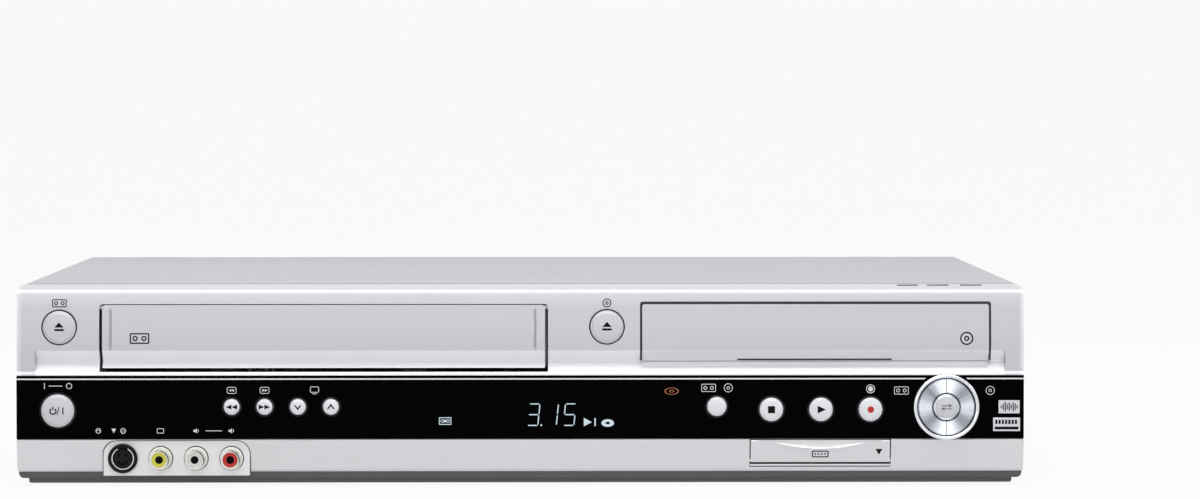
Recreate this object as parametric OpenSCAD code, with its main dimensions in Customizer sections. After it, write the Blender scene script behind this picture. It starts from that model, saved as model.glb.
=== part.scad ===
// Combined disc and video-cassette player, built as it comes apart on a bench.
// Origin at floor level under the middle of the case, +Z up, front towards -Y.

/* [Case] */
// Width of the case
case_w = 430; // [424:1:450]
// Depth from the front face to the back panel
case_d = 320; // [312:1:350]
// Height from the floor to the top of the cover
case_h = 86; // [85:0.5:94]
// Thickness of the sheet steel
sheet_t = 1; // [0.8:0.1:1.2]
// Wall of the plastic mouldings
wall_t = 2.5; // [2.2:0.1:2.8]
// Height of the feet under the steel base
foot_h = 4; // [3:0.5:5]
// Radius of a foot
foot_r = 12; // [9:0.5:14]
// How far the feet stand in from the edges of the case
foot_inset = 40; // [30:1:60]
// Depth of the plastic lip in front of the steel cover
lip_d = 25; // [22:1:30]
// Radius of the rounded top front edge
brow_r = 3.5; // [2.5:0.5:4.5]

/* [Front bands] */
// Top of the dark plinth, above the steel base
plinth_top = 2.6; // [2:0.2:4]
// Lower edge of the control window, above the steel base
window_low = 16.7; // [16:0.1:17.5]
// Upper edge of the control window, below the top of the case
window_high = 38.2; // [38:0.1:39]
// Front edge of the ledge under the upper face, below the top of the case
ledge_h = 37.7; // [37:0.1:37.8]
// Back of the groove's ledge, below the top of the case
groove_h = 32.4; // [32:0.1:33]
// Lower edge of the upper face, where its bevel starts, below the top of the case
face_low = 27.6; // [26.5:0.1:28.5]
// How far the crowned upper face leans back at its top
crown_d = 2; // [1:0.1:2.2]
// Thickness of the control window
window_t = 2.2; // [1.8:0.1:2.6]
// How far the upper face stands behind the window's front
face_d = 1.2; // [0.8:0.1:1.6]
// How deep the groove goes behind the upper face
groove_d = 4; // [3:0.2:5]
// How far the ends of the groove stand in from the sides of the case
groove_inset = 7.8; // [7:0.2:9]
// How far the lower panel leans back at its foot
lower_lean = 2.8; // [2:0.2:3.2]

/* [Cassette flap] */
// Middle of the cassette opening, from the middle of the case
flap_x = -84.1; // [-86:0.1:-83]
// Width of the cassette opening
flap_open_w = 191.5; // [190:0.5:193]
// Lower edge of the opening, below the top of the case
flap_open_low = 36.8; // [36.2:0.1:37]
// Upper edge of the opening, below the top of the case
flap_open_high = 7.8; // [7:0.1:8]
// Gap at each side of the flap
flap_side_gap = 1.3; // [0.8:0.1:1.6]
// Gap under the flap
flap_low_gap = 1.7; // [1:0.1:2]
// Thickness of the flap
flap_t = 2.2; // [1.8:0.1:2.4]
// Radius of the flap's hinge pins
flap_pin_r = 1; // [0.8:0.1:1.1]

/* [Disc tray] */
// Middle of the disc loader, from the middle of the case
tray_x = 126; // [125:0.5:127]
// Width of the tray front
door_w = 148.2; // [147:0.2:149]
// Lower edge of the tray front, below the top of the case
door_low = 32.1; // [31.6:0.1:32.2]
// Upper edge of the tray front, below the top of the case
door_high = 8; // [7.8:0.1:9]
// Gap round the tray front
door_gap = 1; // [0.8:0.1:1.3]
// Length of the tray behind its front
tray_len = 168; // [166:1:172]
// Width of the tray between its guide flanges
tray_w = 134; // [133:0.5:135]
// Travel of the tray
tray_travel = 140; // [130:1:140]
// Radius of the well for a 12 cm disc
disc_r = 60.5; // [60.2:0.1:61]
// Module of the rack and its gear
tooth_module = 1; // [1:0.25:1]
// Number of teeth of the loading gear
gear_teeth = 20; // [20:2:22]

/* [Buttons] */
// Clear ring round each button
button_gap = 0.45; // [0.4:0.05:0.6]
// How far a button goes in
button_travel = 0.8; // [0.5:0.1:1]
// Radius of the eject and open buttons
eject_r = 7.15; // [6.8:0.05:7.6]
// Radius of the power button
power_r = 7.05; // [6.8:0.05:7.6]
// Radius of the stop, play and record buttons
deck_button_r = 5.05; // [4.8:0.05:5.5]
// Radius of the drive select button
select_r = 4.1; // [3.9:0.1:4.6]
// Radius of the small buttons for winding and channels
small_r = 3.4; // [3.3:0.1:3.9]
// How far the buttons stand out of the window
button_proud = 1.4; // [1:0.1:2]

/* [Copy dial] */
// Middle of the dial, from the middle of the case
dial_x = 181.7; // [181:0.1:183]
// Height of the dial's middle above the middle of the window
dial_h = 0; // [-0.3:0.1:0.2]
// Outer radius of the dial's ring
dial_r = 14; // [13.6:0.1:14.2]
// Radius of the dial's middle disc
dial_hub_r = 5.6; // [5.2:0.1:6]
// How far the dial's ring stands out of the window
dial_proud = 3.6; // [3.4:0.1:4]

/* [Sockets] */
// How far the phono sockets stand out, at the front and at the back
socket_reach = 8.5; // [7.5:0.1:9]
// Outer radius of a phono sleeve
phono_r = 4.15; // [4.1:0.05:4.2]
// Radius of a phono socket's middle hole
phono_hole_r = 1.7; // [1.6:0.05:1.8]
// Middle of the first front phono socket
phono_x = -153.7; // [-154:0.1:-153.4]
// Distance between the front phono sockets
phono_pitch = 15.1; // [14.6:0.1:15.3]
// Height of the front sockets above the steel base
socket_h = 8.4; // [8:0.1:8.8]
// Middle of the S-video socket
svideo_x = -169.8; // [-170:0.1:-169.5]
// Radius of the S-video socket
svideo_r = 6.3; // [6:0.1:6.4]
// Middle of the socket pad
pad_x = -146.9; // [-147.2:0.1:-146.6]
// Width of the socket pad
pad_w = 62.8; // [62:0.2:64]
// Radius of an aerial socket over its thread
aerial_r = 4.7; // [4.6:0.05:4.8]

/* [Digital video door] */
// Middle of the door's opening
dv_x = 128; // [126:0.2:129]
// Width of the door's opening
dv_w = 60.5; // [58:0.5:62]
// Height of the opening's lower edge above the steel base
dv_low = 4.4; // [4.2:0.1:5]
// Thickness of the door
dv_t = 1.8; // [1.5:0.1:2]
// Gap at each side of the door
dv_gap = 0.5; // [0.4:0.05:0.8]

/* [Tape deck] */
// Radius of the head drum
drum_r = 31; // [30:0.5:31]
// Tilt of the head drum
drum_tilt = 6; // [5:0.5:6]
// Radius of the reel tables
reel_r = 17; // [15:0.5:18]
// Distance between the two reels
reel_pitch = 92; // [90:1:94]
// Radius of the capstan
capstan_r = 2; // [1.8:0.1:2.2]
// Radius of the pinch roller
pinch_r = 7; // [6.5:0.1:7]
// How far the cassette cage drops
cage_drop = 20; // [16:1:20]

/* [Disc drive] */
// How far the traverse lifts
traverse_lift = 8.5; // [7:0.5:8.5]
// Travel of the pickup
pickup_travel = 34; // [30:1:35]
// Radius of the turntable
turntable_r = 14; // [13:0.5:15]

/* [Boards and fan] */
// Thickness of a circuit board
board_t = 1.6; // [1.2:0.2:1.8]
// Height of the boards above the steel base
board_h = 7; // [6:0.5:8]
// Width of the square fan
fan_w = 40; // [38:1:40]
// Thickness of the fan
fan_t = 10; // [10:1:12]

/* [Fits] */
// Clearance between parts that move past each other
slide_gap = 0.4; // [0.3:0.05:0.5]
// Radial clearance of a running shaft
run_gap = 0.05; // [0.03:0.01:0.08]

/* [Hidden] */
$fn = 48;
eps = 0.01;
half_w = case_w / 2;
front_y = -case_d / 2;
back_y = case_d / 2;
base_z = foot_h;
floor_z = base_z + sheet_t;
top_h = case_h - base_z;
window_top = top_h - window_high;
window_mid = (window_low + window_top) / 2;
ledge_front = top_h - ledge_h;
ledge_back = top_h - groove_h;
face_foot = top_h - face_low;
window_back = window_t + wall_t;
face_back = face_d + wall_t;
groove_back = face_d + groove_d;
bevel_rise = 4.4;
groove_high = face_foot - bevel_rise;
groove_half = half_w - groove_inset;
ledge_slope = (ledge_back - ledge_front) / groove_back;
lip_top = case_h - 0.2;
brow_top = case_h - 1.1;
cover_front = lip_d + slide_gap;
tongue_d = 5;
face_lean = atan(2 * crown_d / (brow_top - brow_r - base_z - face_foot));
face_high = brow_top - brow_r * (1 - sin(face_lean)) - base_z;
key_front = 14;
switch_h = 4;
stem_end = key_front - switch_h - button_travel - 0.3;
flange_t = 1;
boss_gap = 0.1;
lower_mid = window_low - 0.6;

flap_left = flap_x - flap_open_w / 2;
flap_right = flap_x + flap_open_w / 2;
flap_sill = top_h - flap_open_low;
flap_lintel = top_h - flap_open_high;
flap_low = flap_sill + flap_low_gap;
flap_high = flap_lintel - slide_gap;
flap_pin_h = flap_lintel - 1.4;
flap_pin_d = face_at(flap_pin_h) + 1.8;
flap_pin_reach = 3.6;

dv_left = dv_x - dv_w / 2;
dv_right = dv_x + dv_w / 2;

door_half = door_w / 2;
door_sill = top_h - door_low;
door_top = top_h - door_high;
door_open_high = door_top + door_gap + 0.2;
door_back = groove_back + wall_t;
tray_front_y = front_y + door_back;
tray_floor = face_foot + 1.6;
tray_top = tray_floor + 9;
flange_w = 2.5;
flange_h = 3;
disc_y = tray_front_y + 65;
well_h = 4;
small_well_h = 1.5;
small_disc_r = 40.5;
slot_w = 42;

pitch_r = tooth_module * gear_teeth / 2;
rack_h = 4.5;
rack_line = tray_x - tray_w / 2 + 11;
gear_x = rack_line + pitch_r;
gear_y = front_y + 25;
gear_low = tray_floor - rack_h - slide_gap;

rail_in = tray_w / 2 + flange_w + 0.5;
rail_t = 3;
frame_low = tray_floor - 26;
frame_top = tray_top + 3;
frame_front = front_y + 17;
frame_back = tray_front_y + tray_len + 28;
leg_r = 4;

plate_h = tray_floor - 16;
plate_t = 2;
spindle_top = plate_h + 6;
plate_half = 56.5;
guide_x = 52.5;
guide_r = 1.8;
rod_h = 3.7;
table_top = tray_floor - 0.8;
rod_r = 1.5;
rod_x = 22;
pickup_y = disc_y + 35;
pickup_len = 24;
rod_back = pickup_y + pickup_travel + pickup_len / 2 + 6;

bridge_h = frame_top;
bridge_t = 1.5;
puck_low = tray_top + 0.6;

deck_x = flap_x;
deck_front = front_y + 34;
deck_len = 180;
deck_half = 95;
deck_h = board_h + 1;
deck_t = 1.5;
deck_top = deck_h + deck_t;
cage_half = flap_open_w / 2 - 0.25;
cage_low = flap_sill + 0.8;
cage_high = cage_low + 27.5;
cage_front = front_y + 35;
cage_len = 100;
bracket_in = cage_half + 1.7;
bracket_t = 1.5;
cage_pin_r = 2;
reel_y = cage_front + 63;
drum_x = deck_x + 4;
drum_y = front_y + 176;
drum_split = 30;
drum_top = 48;
capstan_x = deck_x + 56;
capstan_y = drum_y - 12;
arm_len = 22;
pinch_y = capstan_y - capstan_r - pinch_r - 3;
arm_x = capstan_x + arm_len;

board_z = base_z + board_h;
board_top = board_z + board_t;
board_front = front_y + 222;
board_back = back_y - 2;
main_low_x = 10;
main_high_x = half_w - 9;
power_low_x = -half_w + 9;
power_high_x = -60;
fan_x = -25;
fan_h = 41;
phono_back_x = [44, 58, 72, 98, 112, 126];
row_low = 21;
row_high = 41;
optical_x = 150;
aerial_x = half_w - 23;
aerial_front = back_y - sheet_t - 30;
inlet_x = -half_w + 29;
inlet_h = 24;
screw_z = 8;
side_screw_y = [cover_front + 30, case_d - 30];
back_screw_x = [-half_w + 35, 20, half_w - 45];

// ---- helpers

// Points of an arc, from angle a to angle b
function arc(x, y, r, a, b, n = 6) =
    [for (i = [0:n]) [x + r * cos(a + (b - a) * i / n), y + r * sin(a + (b - a) * i / n)]];

// Outline of a rectangle with a radius for its two lower and its two upper corners
function tile(x0, x1, z0, z1, low_r, high_r) = concat(
    arc(x0 + low_r, z0 + low_r, low_r, 180, 270),
    arc(x1 - low_r, z0 + low_r, low_r, 270, 360),
    arc(x1 - high_r, z1 - high_r, high_r, 0, 90),
    arc(x0 + high_r, z1 - high_r, high_r, 90, 180));

// Box between two corners
module block(x, y, z) {
    translate([min(x), y[0], z[0]]) cube([max(x) - min(x), y[1] - y[0], z[1] - z[0]]);
}

// The same with its heights above the steel base
module slab(x, y, h) {
    block(x, y, [base_z + h[0], base_z + h[1]]);
}

// Extrudes an outline of X and height above the base along Y, between two depths
module through_front(d0, d1) {
    translate([0, front_y + d1, base_z]) rotate([90, 0, 0]) linear_extrude(d1 - d0)
        children();
}

// Extrudes an outline of depth and height above the base along X
module along_x(x0, x1) {
    translate([x0, front_y, base_z]) rotate([90, 0, 90]) linear_extrude(x1 - x0) children();
}

// Turns an outline of radius and depth about an axis through the front
module turned_front(x, h) {
    translate([x, front_y, base_z + h]) rotate([-90, 0, 0]) rotate_extrude() children();
}

// Round bar along Y between two depths behind the front face
module bar_y(x, h, d0, d1, r) {
    translate([x, front_y + d0, base_z + h]) rotate([-90, 0, 0])
        cylinder(h = d1 - d0, r = r);
}

// Round bar along X
module bar_x(x0, x1, d, h, r) {
    translate([x0, front_y + d, base_z + h]) rotate([0, 90, 0])
        cylinder(h = x1 - x0, r = r);
}

// Upright round bar between two heights above the base
module post(x, y, h0, h1, r) {
    translate([x, y, base_z + h0]) cylinder(h = h1 - h0, r = r);
}

// ---- case

vent_pitch = 6;
vent_count = 22;
vent_w = 2.4;
vent_len = 13;

// Folded sheet with rounded long bends, louvre slots in both sides and three tabs at the back
module top_cover() {
    bend_r = 2.5;
    skirt = base_z + 1;
    outer = concat([[-half_w, skirt]],
        arc(-half_w + bend_r, case_h - bend_r, bend_r, 180, 90),
        arc(half_w - bend_r, case_h - bend_r, bend_r, 90, 0),
        [[half_w, skirt]]);
    inner = concat([[half_w - sheet_t, skirt]],
        arc(half_w - bend_r, case_h - bend_r, bend_r - sheet_t, 0, 90),
        arc(-half_w + bend_r, case_h - bend_r, bend_r - sheet_t, 90, 180),
        [[-half_w + sheet_t, skirt]]);
    color("lightsteelblue") {
        difference() {
            translate([0, back_y, 0]) rotate([90, 0, 0])
                linear_extrude(case_d - cover_front) polygon(concat(outer, inner));
            for (row = [0:1], i = [0:vent_count - 1])
                translate([-half_w - 1, front_y + 90 + i * vent_pitch, base_z + 34 + row * 20])
                    cube([case_w + 2, vent_w, vent_len]);
            for (y = side_screw_y)
                bar_x(-half_w - 1, half_w + 1, y, screw_z, 1.7);
        }
        for (x = back_screw_x)
            difference() {
                block([x - 9, x + 9], [back_y, back_y + sheet_t], [case_h - 12, case_h]);
                translate([x, back_y - 1, case_h - 6]) rotate([-90, 0, 0])
                    cylinder(h = sheet_t + 2, r = 1.7);
            }
    }
}

// Pan head screw along +Z with a cross recess; its head's seat is at the origin
module pan_screw(len) {
    difference() {
        union() {
            rotate_extrude() polygon([[0, 1.8], [1.8, 1.6], [2.8, 0.9], [3.1, 0], [0, 0]]);
            translate([0, 0, -len]) cylinder(h = len, r = 1.4);
        }
        for (a = [0, 90])
            rotate([0, 0, a]) translate([-1.6, -0.35, 0.9]) cube([3.2, 0.7, 2]);
    }
}

// Two screws in each side and three at the back
module cover_screws() {
    color("silver") {
        for (y = side_screw_y) {
            translate([half_w, front_y + y, base_z + screw_z]) rotate([0, 90, 0])
                pan_screw(5);
            translate([-half_w, front_y + y, base_z + screw_z]) rotate([0, -90, 0])
                pan_screw(5);
        }
        for (x = back_screw_x)
            translate([x, back_y + sheet_t, case_h - 6]) rotate([-90, 0, 0]) pan_screw(5);
    }
}

tray_edge = 12;
base_front = 22;

// Steel base tray: turned-up sides, two long ribs, cooling slots and pressed stand-offs
module bottom_chassis() {
    in_x = half_w - sheet_t;
    standoff_x = [main_low_x + 8, main_high_x - 8, power_low_x + 8, power_high_x - 8];
    standoff_y = [board_front + 8, board_back - 14];
    color("silver") difference() {
        union() {
            block([-in_x, in_x], [front_y + base_front, back_y], [base_z, floor_z]);
            for (s = [-1, 1])
                block([s * in_x, s * (in_x - sheet_t)],
                    [front_y + cover_front, back_y - sheet_t], [floor_z, floor_z + tray_edge]);
            block([-in_x + wall_t, in_x - wall_t],
                [front_y + base_front, front_y + base_front + sheet_t],
                [floor_z, floor_z + 3]);
            for (x = standoff_x, y = standoff_y)
                translate([x, y, floor_z]) cylinder(h = board_z - floor_z, r1 = 5, r2 = 3);
        }
        for (y = side_screw_y)
            bar_x(-half_w, half_w, y, screw_z, 1.7);
        for (i = [0:13], x = [-150, -95, 60, 130])
            translate([x, back_y - 88 + i * 6, base_z - 1]) cube([28, 2.4, sheet_t + 2]);
        at_feet() translate([0, 0, base_z - 1]) cylinder(h = 5, r = 2.2);
    }
}

// Places children at the four feet
module at_feet() {
    for (x = [-1, 1], y = [-1, 1])
        translate([x * (half_w - foot_inset), y * (case_d / 2 - foot_inset), 0]) children();
}

// Four moulded feet, each with a snap stud through the base and a dished sole
module feet() {
    color("dimgray") at_feet() rotate_extrude()
        polygon([[0, 1], [foot_r - 4, 1], [foot_r - 3.5, 0], [foot_r - 1, 0],
            [foot_r - 0.4, 0.6], [foot_r, foot_h], [1.9, foot_h],
            [1.9, foot_h + sheet_t + 0.4], [0, foot_h + sheet_t + 1.2]]);
}

grille_rings = [7, 11, 15, 19];

// Round hole through the back panel
module back_hole(x, h, r) {
    translate([x, back_y - 5, base_z + h]) rotate([-90, 0, 0]) cylinder(h = 10, r = r);
}

// Steel back panel with the socket holes, the fan's grille and the mains inlet's cut-out
module rear_panel() {
    in_x = half_w - sheet_t;
    y0 = back_y - sheet_t;
    color("gainsboro") difference() {
        block([-in_x + sheet_t, in_x - sheet_t], [y0, back_y], [floor_z, case_h - sheet_t]);
        for (x = phono_back_x, h = [row_low, row_high])
            back_hole(x, h, phono_r + 0.3);
        for (h = [row_low, row_high]) {
            back_hole(22, h, 6);
            back_hole(aerial_x, h, aerial_r + 0.3);
        }
        for (x = back_screw_x)
            translate([x, y0 - 1, case_h - 6]) rotate([-90, 0, 0])
                cylinder(h = sheet_t + 2, r = 1.7);
        slab([optical_x - 6, optical_x + 6], [y0 - 1, back_y + 1], [row_low - 5, row_low + 5]);
        slab([inlet_x - 13, inlet_x + 13], [y0 - 1, back_y + 1], [inlet_h - 9, inlet_h + 9]);
        difference() {
            for (r = grille_rings)
                difference() {
                    back_hole(fan_x, fan_h, r);
                    back_hole(fan_x, fan_h, r - 2.4);
                }
            for (a = [0, 60, 120])
                translate([fan_x, back_y, base_z + fan_h]) rotate([0, a, 0])
                    cube([50, 12, 2.4], center = true);
        }
    }
}

// ---- front

// Height of the ledge's surface at a depth behind the window's front
function ledge_at(d) = ledge_front + d * ledge_slope;

// Long groove with straight ends and rounded upper corners
module groove_cut() {
    lead = 0.2;
    intersection() {
        along_x(-groove_half, groove_half)
            polygon([[-lead, ledge_at(-lead)], [groove_back, ledge_back],
                [groove_back, groove_high], [face_d, face_foot],
                [-lead, face_foot + (face_d + lead) * bevel_rise / groove_d]]);
        through_front(-1, groove_back + 1)
            polygon(tile(-groove_half, groove_half, ledge_front - 1, face_foot + 0.6, 0.1, 1.6));
    }
}

// Depth of the crowned upper face at a height
function face_at(h) =
    face_d + crown_d * pow(max(0, h - face_foot) / (face_high - face_foot), 2);

// Points down the upper face between two heights, set back by a distance
function face_curve(h0, h1, back = 0, n = 10) =
    [for (i = [0:n]) let (h = h0 + (h1 - h0) * i / n) [face_at(h) + back, h]];

// Outer outline of the fascia, from the lip's back edge down to the plinth
function fascia_outer() = concat(
    [[lip_d, lip_top - base_z]],
    arc(face_d + crown_d + brow_r * cos(face_lean), brow_top - brow_r - base_z, brow_r,
        90, 180 - face_lean, 8),
    face_curve(face_high, face_foot),
    [[face_d, ledge_at(face_d)], [0, ledge_front], [0, window_top], [window_t, window_top],
        [window_t, window_low], [0.6, window_low], [-0.2, lower_mid],
        [lower_lean - 0.2, plinth_top + 1], [lower_lean + 0.6, plinth_top]]);

// Inner outline of the fascia, from the plinth back up to the lip
function fascia_inner() = [
    [lower_lean + 0.6 + wall_t, plinth_top],
    [wall_t - 0.2 + 0.8, window_low - 3],
    [window_back, window_low - 0.6],
    [window_back, window_top + 0.6],
    [groove_back + wall_t, ledge_at(groove_back) - 3],
    [groove_back + wall_t, groove_high + 1.5],
    [face_back, face_foot + 2],
    [face_back + crown_d, face_high - 1],
    [face_back + crown_d + 2, brow_top - base_z - wall_t],
    [lip_d, lip_top - base_z - wall_t]];

// Moulded front: top lip, rounded brow, long groove, window recess and lower panel
module front_fascia() {
    side_outline = concat(fascia_outer(), [[lip_d, plinth_top]]);
    color("lightgray") difference() {
        union() {
            along_x(-half_w + wall_t, half_w - wall_t)
                polygon(concat(fascia_outer(), fascia_inner()));
            along_x(-half_w, -half_w + wall_t) polygon(side_outline);
            along_x(half_w - wall_t, half_w) polygon(side_outline);
            block([-half_w + 4, half_w - 4],
                [front_y + lip_d - 4, front_y + lip_d + tongue_d],
                [case_h - sheet_t - wall_t, case_h - sheet_t]);
            flap_bosses();
            through_front(face_back, tray_stop_d + stop_t)
                polygon(tile(tray_x - stop_half, tray_x + stop_half, door_sill - stop_t,
                    door_open_high + stop_t, 0.2, 1.2));
            for (p = board_bosses)
                bar_y(p[0], p[1], window_back - 0.5, key_front, 3);
        }
        groove_cut();
        through_front(-5, 15)
            polygon(tile(flap_left, flap_right,
                flap_sill, flap_lintel, 0.5, 1.5));
        through_front(-5, tray_stop_d)
            polygon(tile(tray_x - door_half - door_gap, tray_x + door_half + door_gap,
                door_sill, door_open_high, 0.2, 1.2));
        through_front(-5, 15)
            polygon(tile(tray_x - rail_in - 0.3, tray_x + rail_in + 0.3,
                tray_floor - rack_h - 0.5, tray_top + 1, 0.2, 1));
        bar_x(flap_left - flap_pin_reach, flap_right + flap_pin_reach, flap_pin_d, flap_pin_h,
            flap_pin_r + run_gap);
        front_holes();
        for (b = BUTTONS)
            bar_y(b[1], b[2], b[4] ? face_back : window_back, key_front, b[3] + flange_reach + 0.4);
        bar_y(dial_x, dial_z, window_back, key_front, neck_r + 2.5);
        through_front(window_t - 1, window_back + 2)
            polygon(tile(display_low_x - 2, display_high_x + 2, display_low - 1,
                display_high + 1, 1, 1));
        through_front(-5, 20) polygon(pad_outline(0.2));
        through_front(-5, dv_depth)
            polygon(tile(dv_left, dv_right, dv_low, window_low - 0.3, 0.3, 0.3));
        bar_x(dv_left - 2, dv_right + 2, dv_pin_d, dv_pin_h, dv_pin_r + run_gap);
    }
}

// Bosses behind the upper face that hold the flap's pins, and the lug of its spring
module flap_bosses() {
    for (s = [-1, 1])
        translate([flap_x + s * (flap_open_w / 2 + 2.25), front_y + flap_pin_d + 0.8,
            base_z + flap_pin_h])
            cube([4.5, 4, 6], center = true);
    block([spring_x - 2, spring_x], [front_y + spring_d - 3.7, front_y + spring_d + 1.5],
        [base_z + spring_h - 1.5, brow_top - 1]);
    bar_x(spring_x - 1, spring_x + 5, spring_d, spring_h, 0.9);
}

tray_stop_d = door_back + 0.3;
stop_t = 1.2;
stop_half = door_half + door_gap + stop_t;
board_bosses = [[-half_w + 45, window_mid + 5.8], [-60, window_mid + 5.8],
    [70, window_mid + 5.8], [half_w - 13, window_low + 5.3]];
flange_reach = 1.2;
spring_x = flap_x - 50;
spring_d = face_back + crown_d + 3.2;
spring_h = flap_lintel + 2.2;
dv_depth = 15;
dv_wall = 1.5;

// Outline of the socket pad: round upper corners, nearly square lower ones
function pad_outline(grow) = tile(pad_x - pad_w / 2 - grow, pad_x + pad_w / 2 + grow,
    1 - grow, window_low - 0.7 + grow, 0.8, 6);

// Dark plinth under the fascia: a band with rounded ends over a narrower lower step
module plinth() {
    band_d = lower_lean + 0.6;
    band_low = -0.2;
    step_low = 1.7 - foot_h;
    step_half = half_w - 4.8;
    color("dimgray") difference() {
        union() {
            through_front(band_d, base_front)
                polygon(tile(-half_w + 0.6, half_w - 0.6, band_low, plinth_top, 2.2, 0.1));
            through_front(band_d + 0.8, base_front)
                polygon(tile(-step_half, step_half, step_low, band_low + 0.1, 1, 0.02));
        }
        through_front(band_d + wall_t, base_front + 1)
            polygon(tile(-half_w + 3, half_w - 3, band_low + 1.2, plinth_top + 1, 1, 0.1));
    }
}

// Glossy window across the whole front, with the holes of its buttons and of the dial
module control_window() {
    color("black") difference() {
        through_front(0, window_t)
            polygon(tile(-half_w, half_w, window_low, window_top, 0.3, 0.3));
        front_holes();
        trim_band(-1, half_w + 1);
    }
}

// Holes of the buttons and of the dial's neck
module front_holes() {
    for (b = BUTTONS)
        bar_y(b[1], b[2], -5, window_back + 2, b[3] + button_gap);
    bar_y(dial_x, dial_z, -5, window_back + 2, neck_r + 0.25);
}

trim_low = window_top - 1.8;
trim_h = 0.6;
trim_t = 0.6;

// Long strip broken round the dial
module trim_band(front, half) {
    difference() {
        through_front(front, trim_t) polygon(tile(-half, half, trim_low, trim_low + trim_h, 0.1, 0.1));
        bar_y(dial_x, dial_z, -5, 5, dial_r + 1);
    }
}

// Bright line let into the window's upper edge
module window_trim() {
    color("white") trim_band(-0.1, half_w);
}

// Section of the cassette flap: upper face, bevel, groove and ledge, with its inner side
function flap_section() =
    let (low_d = (flap_low - ledge_front) / ledge_slope)
    concat(face_curve(flap_high, face_foot), [[groove_back, groove_high], [groove_back, ledge_back],
        [low_d, flap_low], [low_d + flap_t + 0.6, flap_low],
        [groove_back + flap_t, ledge_back - 0.4], [groove_back + flap_t, groove_high + 1],
        [face_d + flap_t, face_foot + 1], [face_at(flap_high) + flap_t, flap_high]]);

// Flap over the cassette opening, with stub pins at the top and two flutes down its face
module cassette_flap() {
    x0 = flap_left + flap_side_gap;
    x1 = flap_right - flap_side_gap;
    color("gainsboro") union() {
        difference() {
            intersection() {
                along_x(x0, x1) polygon(flap_section());
                through_front(-2, 20) polygon(tile(x0, x1, flap_low, flap_high, 0.4, 1.5));
            }
            for (x = [x0 + 3.6, x1 - 4.2])
                along_x(x - 0.5, x + 0.5)
                    polygon(concat(face_curve(flap_high - 2, face_foot + 1, -0.5),
                        face_curve(face_foot + 1, flap_high - 2, 0.5)));
        }
        for (x = [x0 - flap_pin_reach - 0.6, x1 - 1.5])
            bar_x(x, x + flap_pin_reach + 2.1, flap_pin_d, flap_pin_h, flap_pin_r);
    }
}

// Close-wound torsion spring on its lug, with one leg down to the flap and one on the wall
module flap_spring() {
    wire_r = 0.35;
    leg_wire_r = 0.3;
    coil_r = 1.45;
    turns = 5;
    pitch = 1.8 * wire_r;
    color("silver") translate([spring_x + 0.3, front_y + spring_d, base_z + spring_h])
        union() {
            rotate([0, 90, 0]) rotate_extrude()
                for (i = [0:turns - 1])
                    translate([coil_r, wire_r + i * pitch]) circle(r = wire_r, $fn = 24);
            translate([wire_r, -coil_r, -2]) cylinder(h = 2.1, r = leg_wire_r);
            translate([wire_r + (turns - 1) * pitch, 0.1, coil_r]) rotate([90, 0, 0])
                cylinder(h = spring_d - face_back - crown_d - 1.9, r = leg_wire_r);
        }
}

// Front of the disc tray: face and bevel, a rim behind, and a finger notch underneath
module tray_front() {
    x0 = tray_x - door_half;
    x1 = tray_x + door_half;
    section = concat(face_curve(door_top, face_foot), [[groove_back, groove_high],
        [groove_back, door_sill], [door_back, door_sill], [door_back, groove_high + 1],
        [face_back, face_foot + 1], [face_at(door_top) + wall_t, door_top]]);
    color("gainsboro") difference() {
        union() {
            intersection() {
                along_x(x0, x1) polygon(section);
                through_front(-2, 20) polygon(tile(x0, x1, door_sill, door_top, 0.3, 1));
            }
            difference() {
                through_front(face_back - eps, door_back)
                    polygon(tile(x0, x1, face_foot + 3, door_top, 0.3, 1));
                through_front(face_back - 1, door_back + 1)
                    polygon(tile(x0 + wall_t, x1 - wall_t, face_foot, door_top - wall_t, 0.3, 1));
            }
            for (x = [tray_x - tray_w / 2 + 6, tray_x + tray_w / 2 - 14])
                slab([x, x + 8], [front_y + face_back - eps, tray_front_y],
                    [tray_floor, tray_top - 1]);
        }
        through_front(groove_back - 3, door_back + 1)
            polygon(tile(tray_x - 33.5, tray_x + 33, door_sill - 1, door_sill + 0.7, 0.1, 0.1));
    }
}

// Straight-flanked rack tooth outline, from its root line towards +X
function rack_tooth(y) =
    let (half_t = PI * tooth_module / 4 - 0.12, a = 0.9 * tooth_module, d = 1.2 * tooth_module,
        k = tan(20))
    [[-d, y - half_t - d * k], [a, y - half_t + a * k],
        [a, y + half_t - a * k], [-d, y + half_t + d * k]];

// Outline of the whole rack with its back
function rack_outline(y0, n) = concat(
    [[-1.2 * tooth_module - 3, y0 - 2], [-1.2 * tooth_module, y0 - 2]],
    [for (i = [0:n - 1]) each rack_tooth(y0 + i * PI * tooth_module)],
    [[-1.2 * tooth_module, y0 + (n - 1) * PI * tooth_module + 2],
        [-1.2 * tooth_module - 3, y0 + (n - 1) * PI * tooth_module + 2]]);

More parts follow.
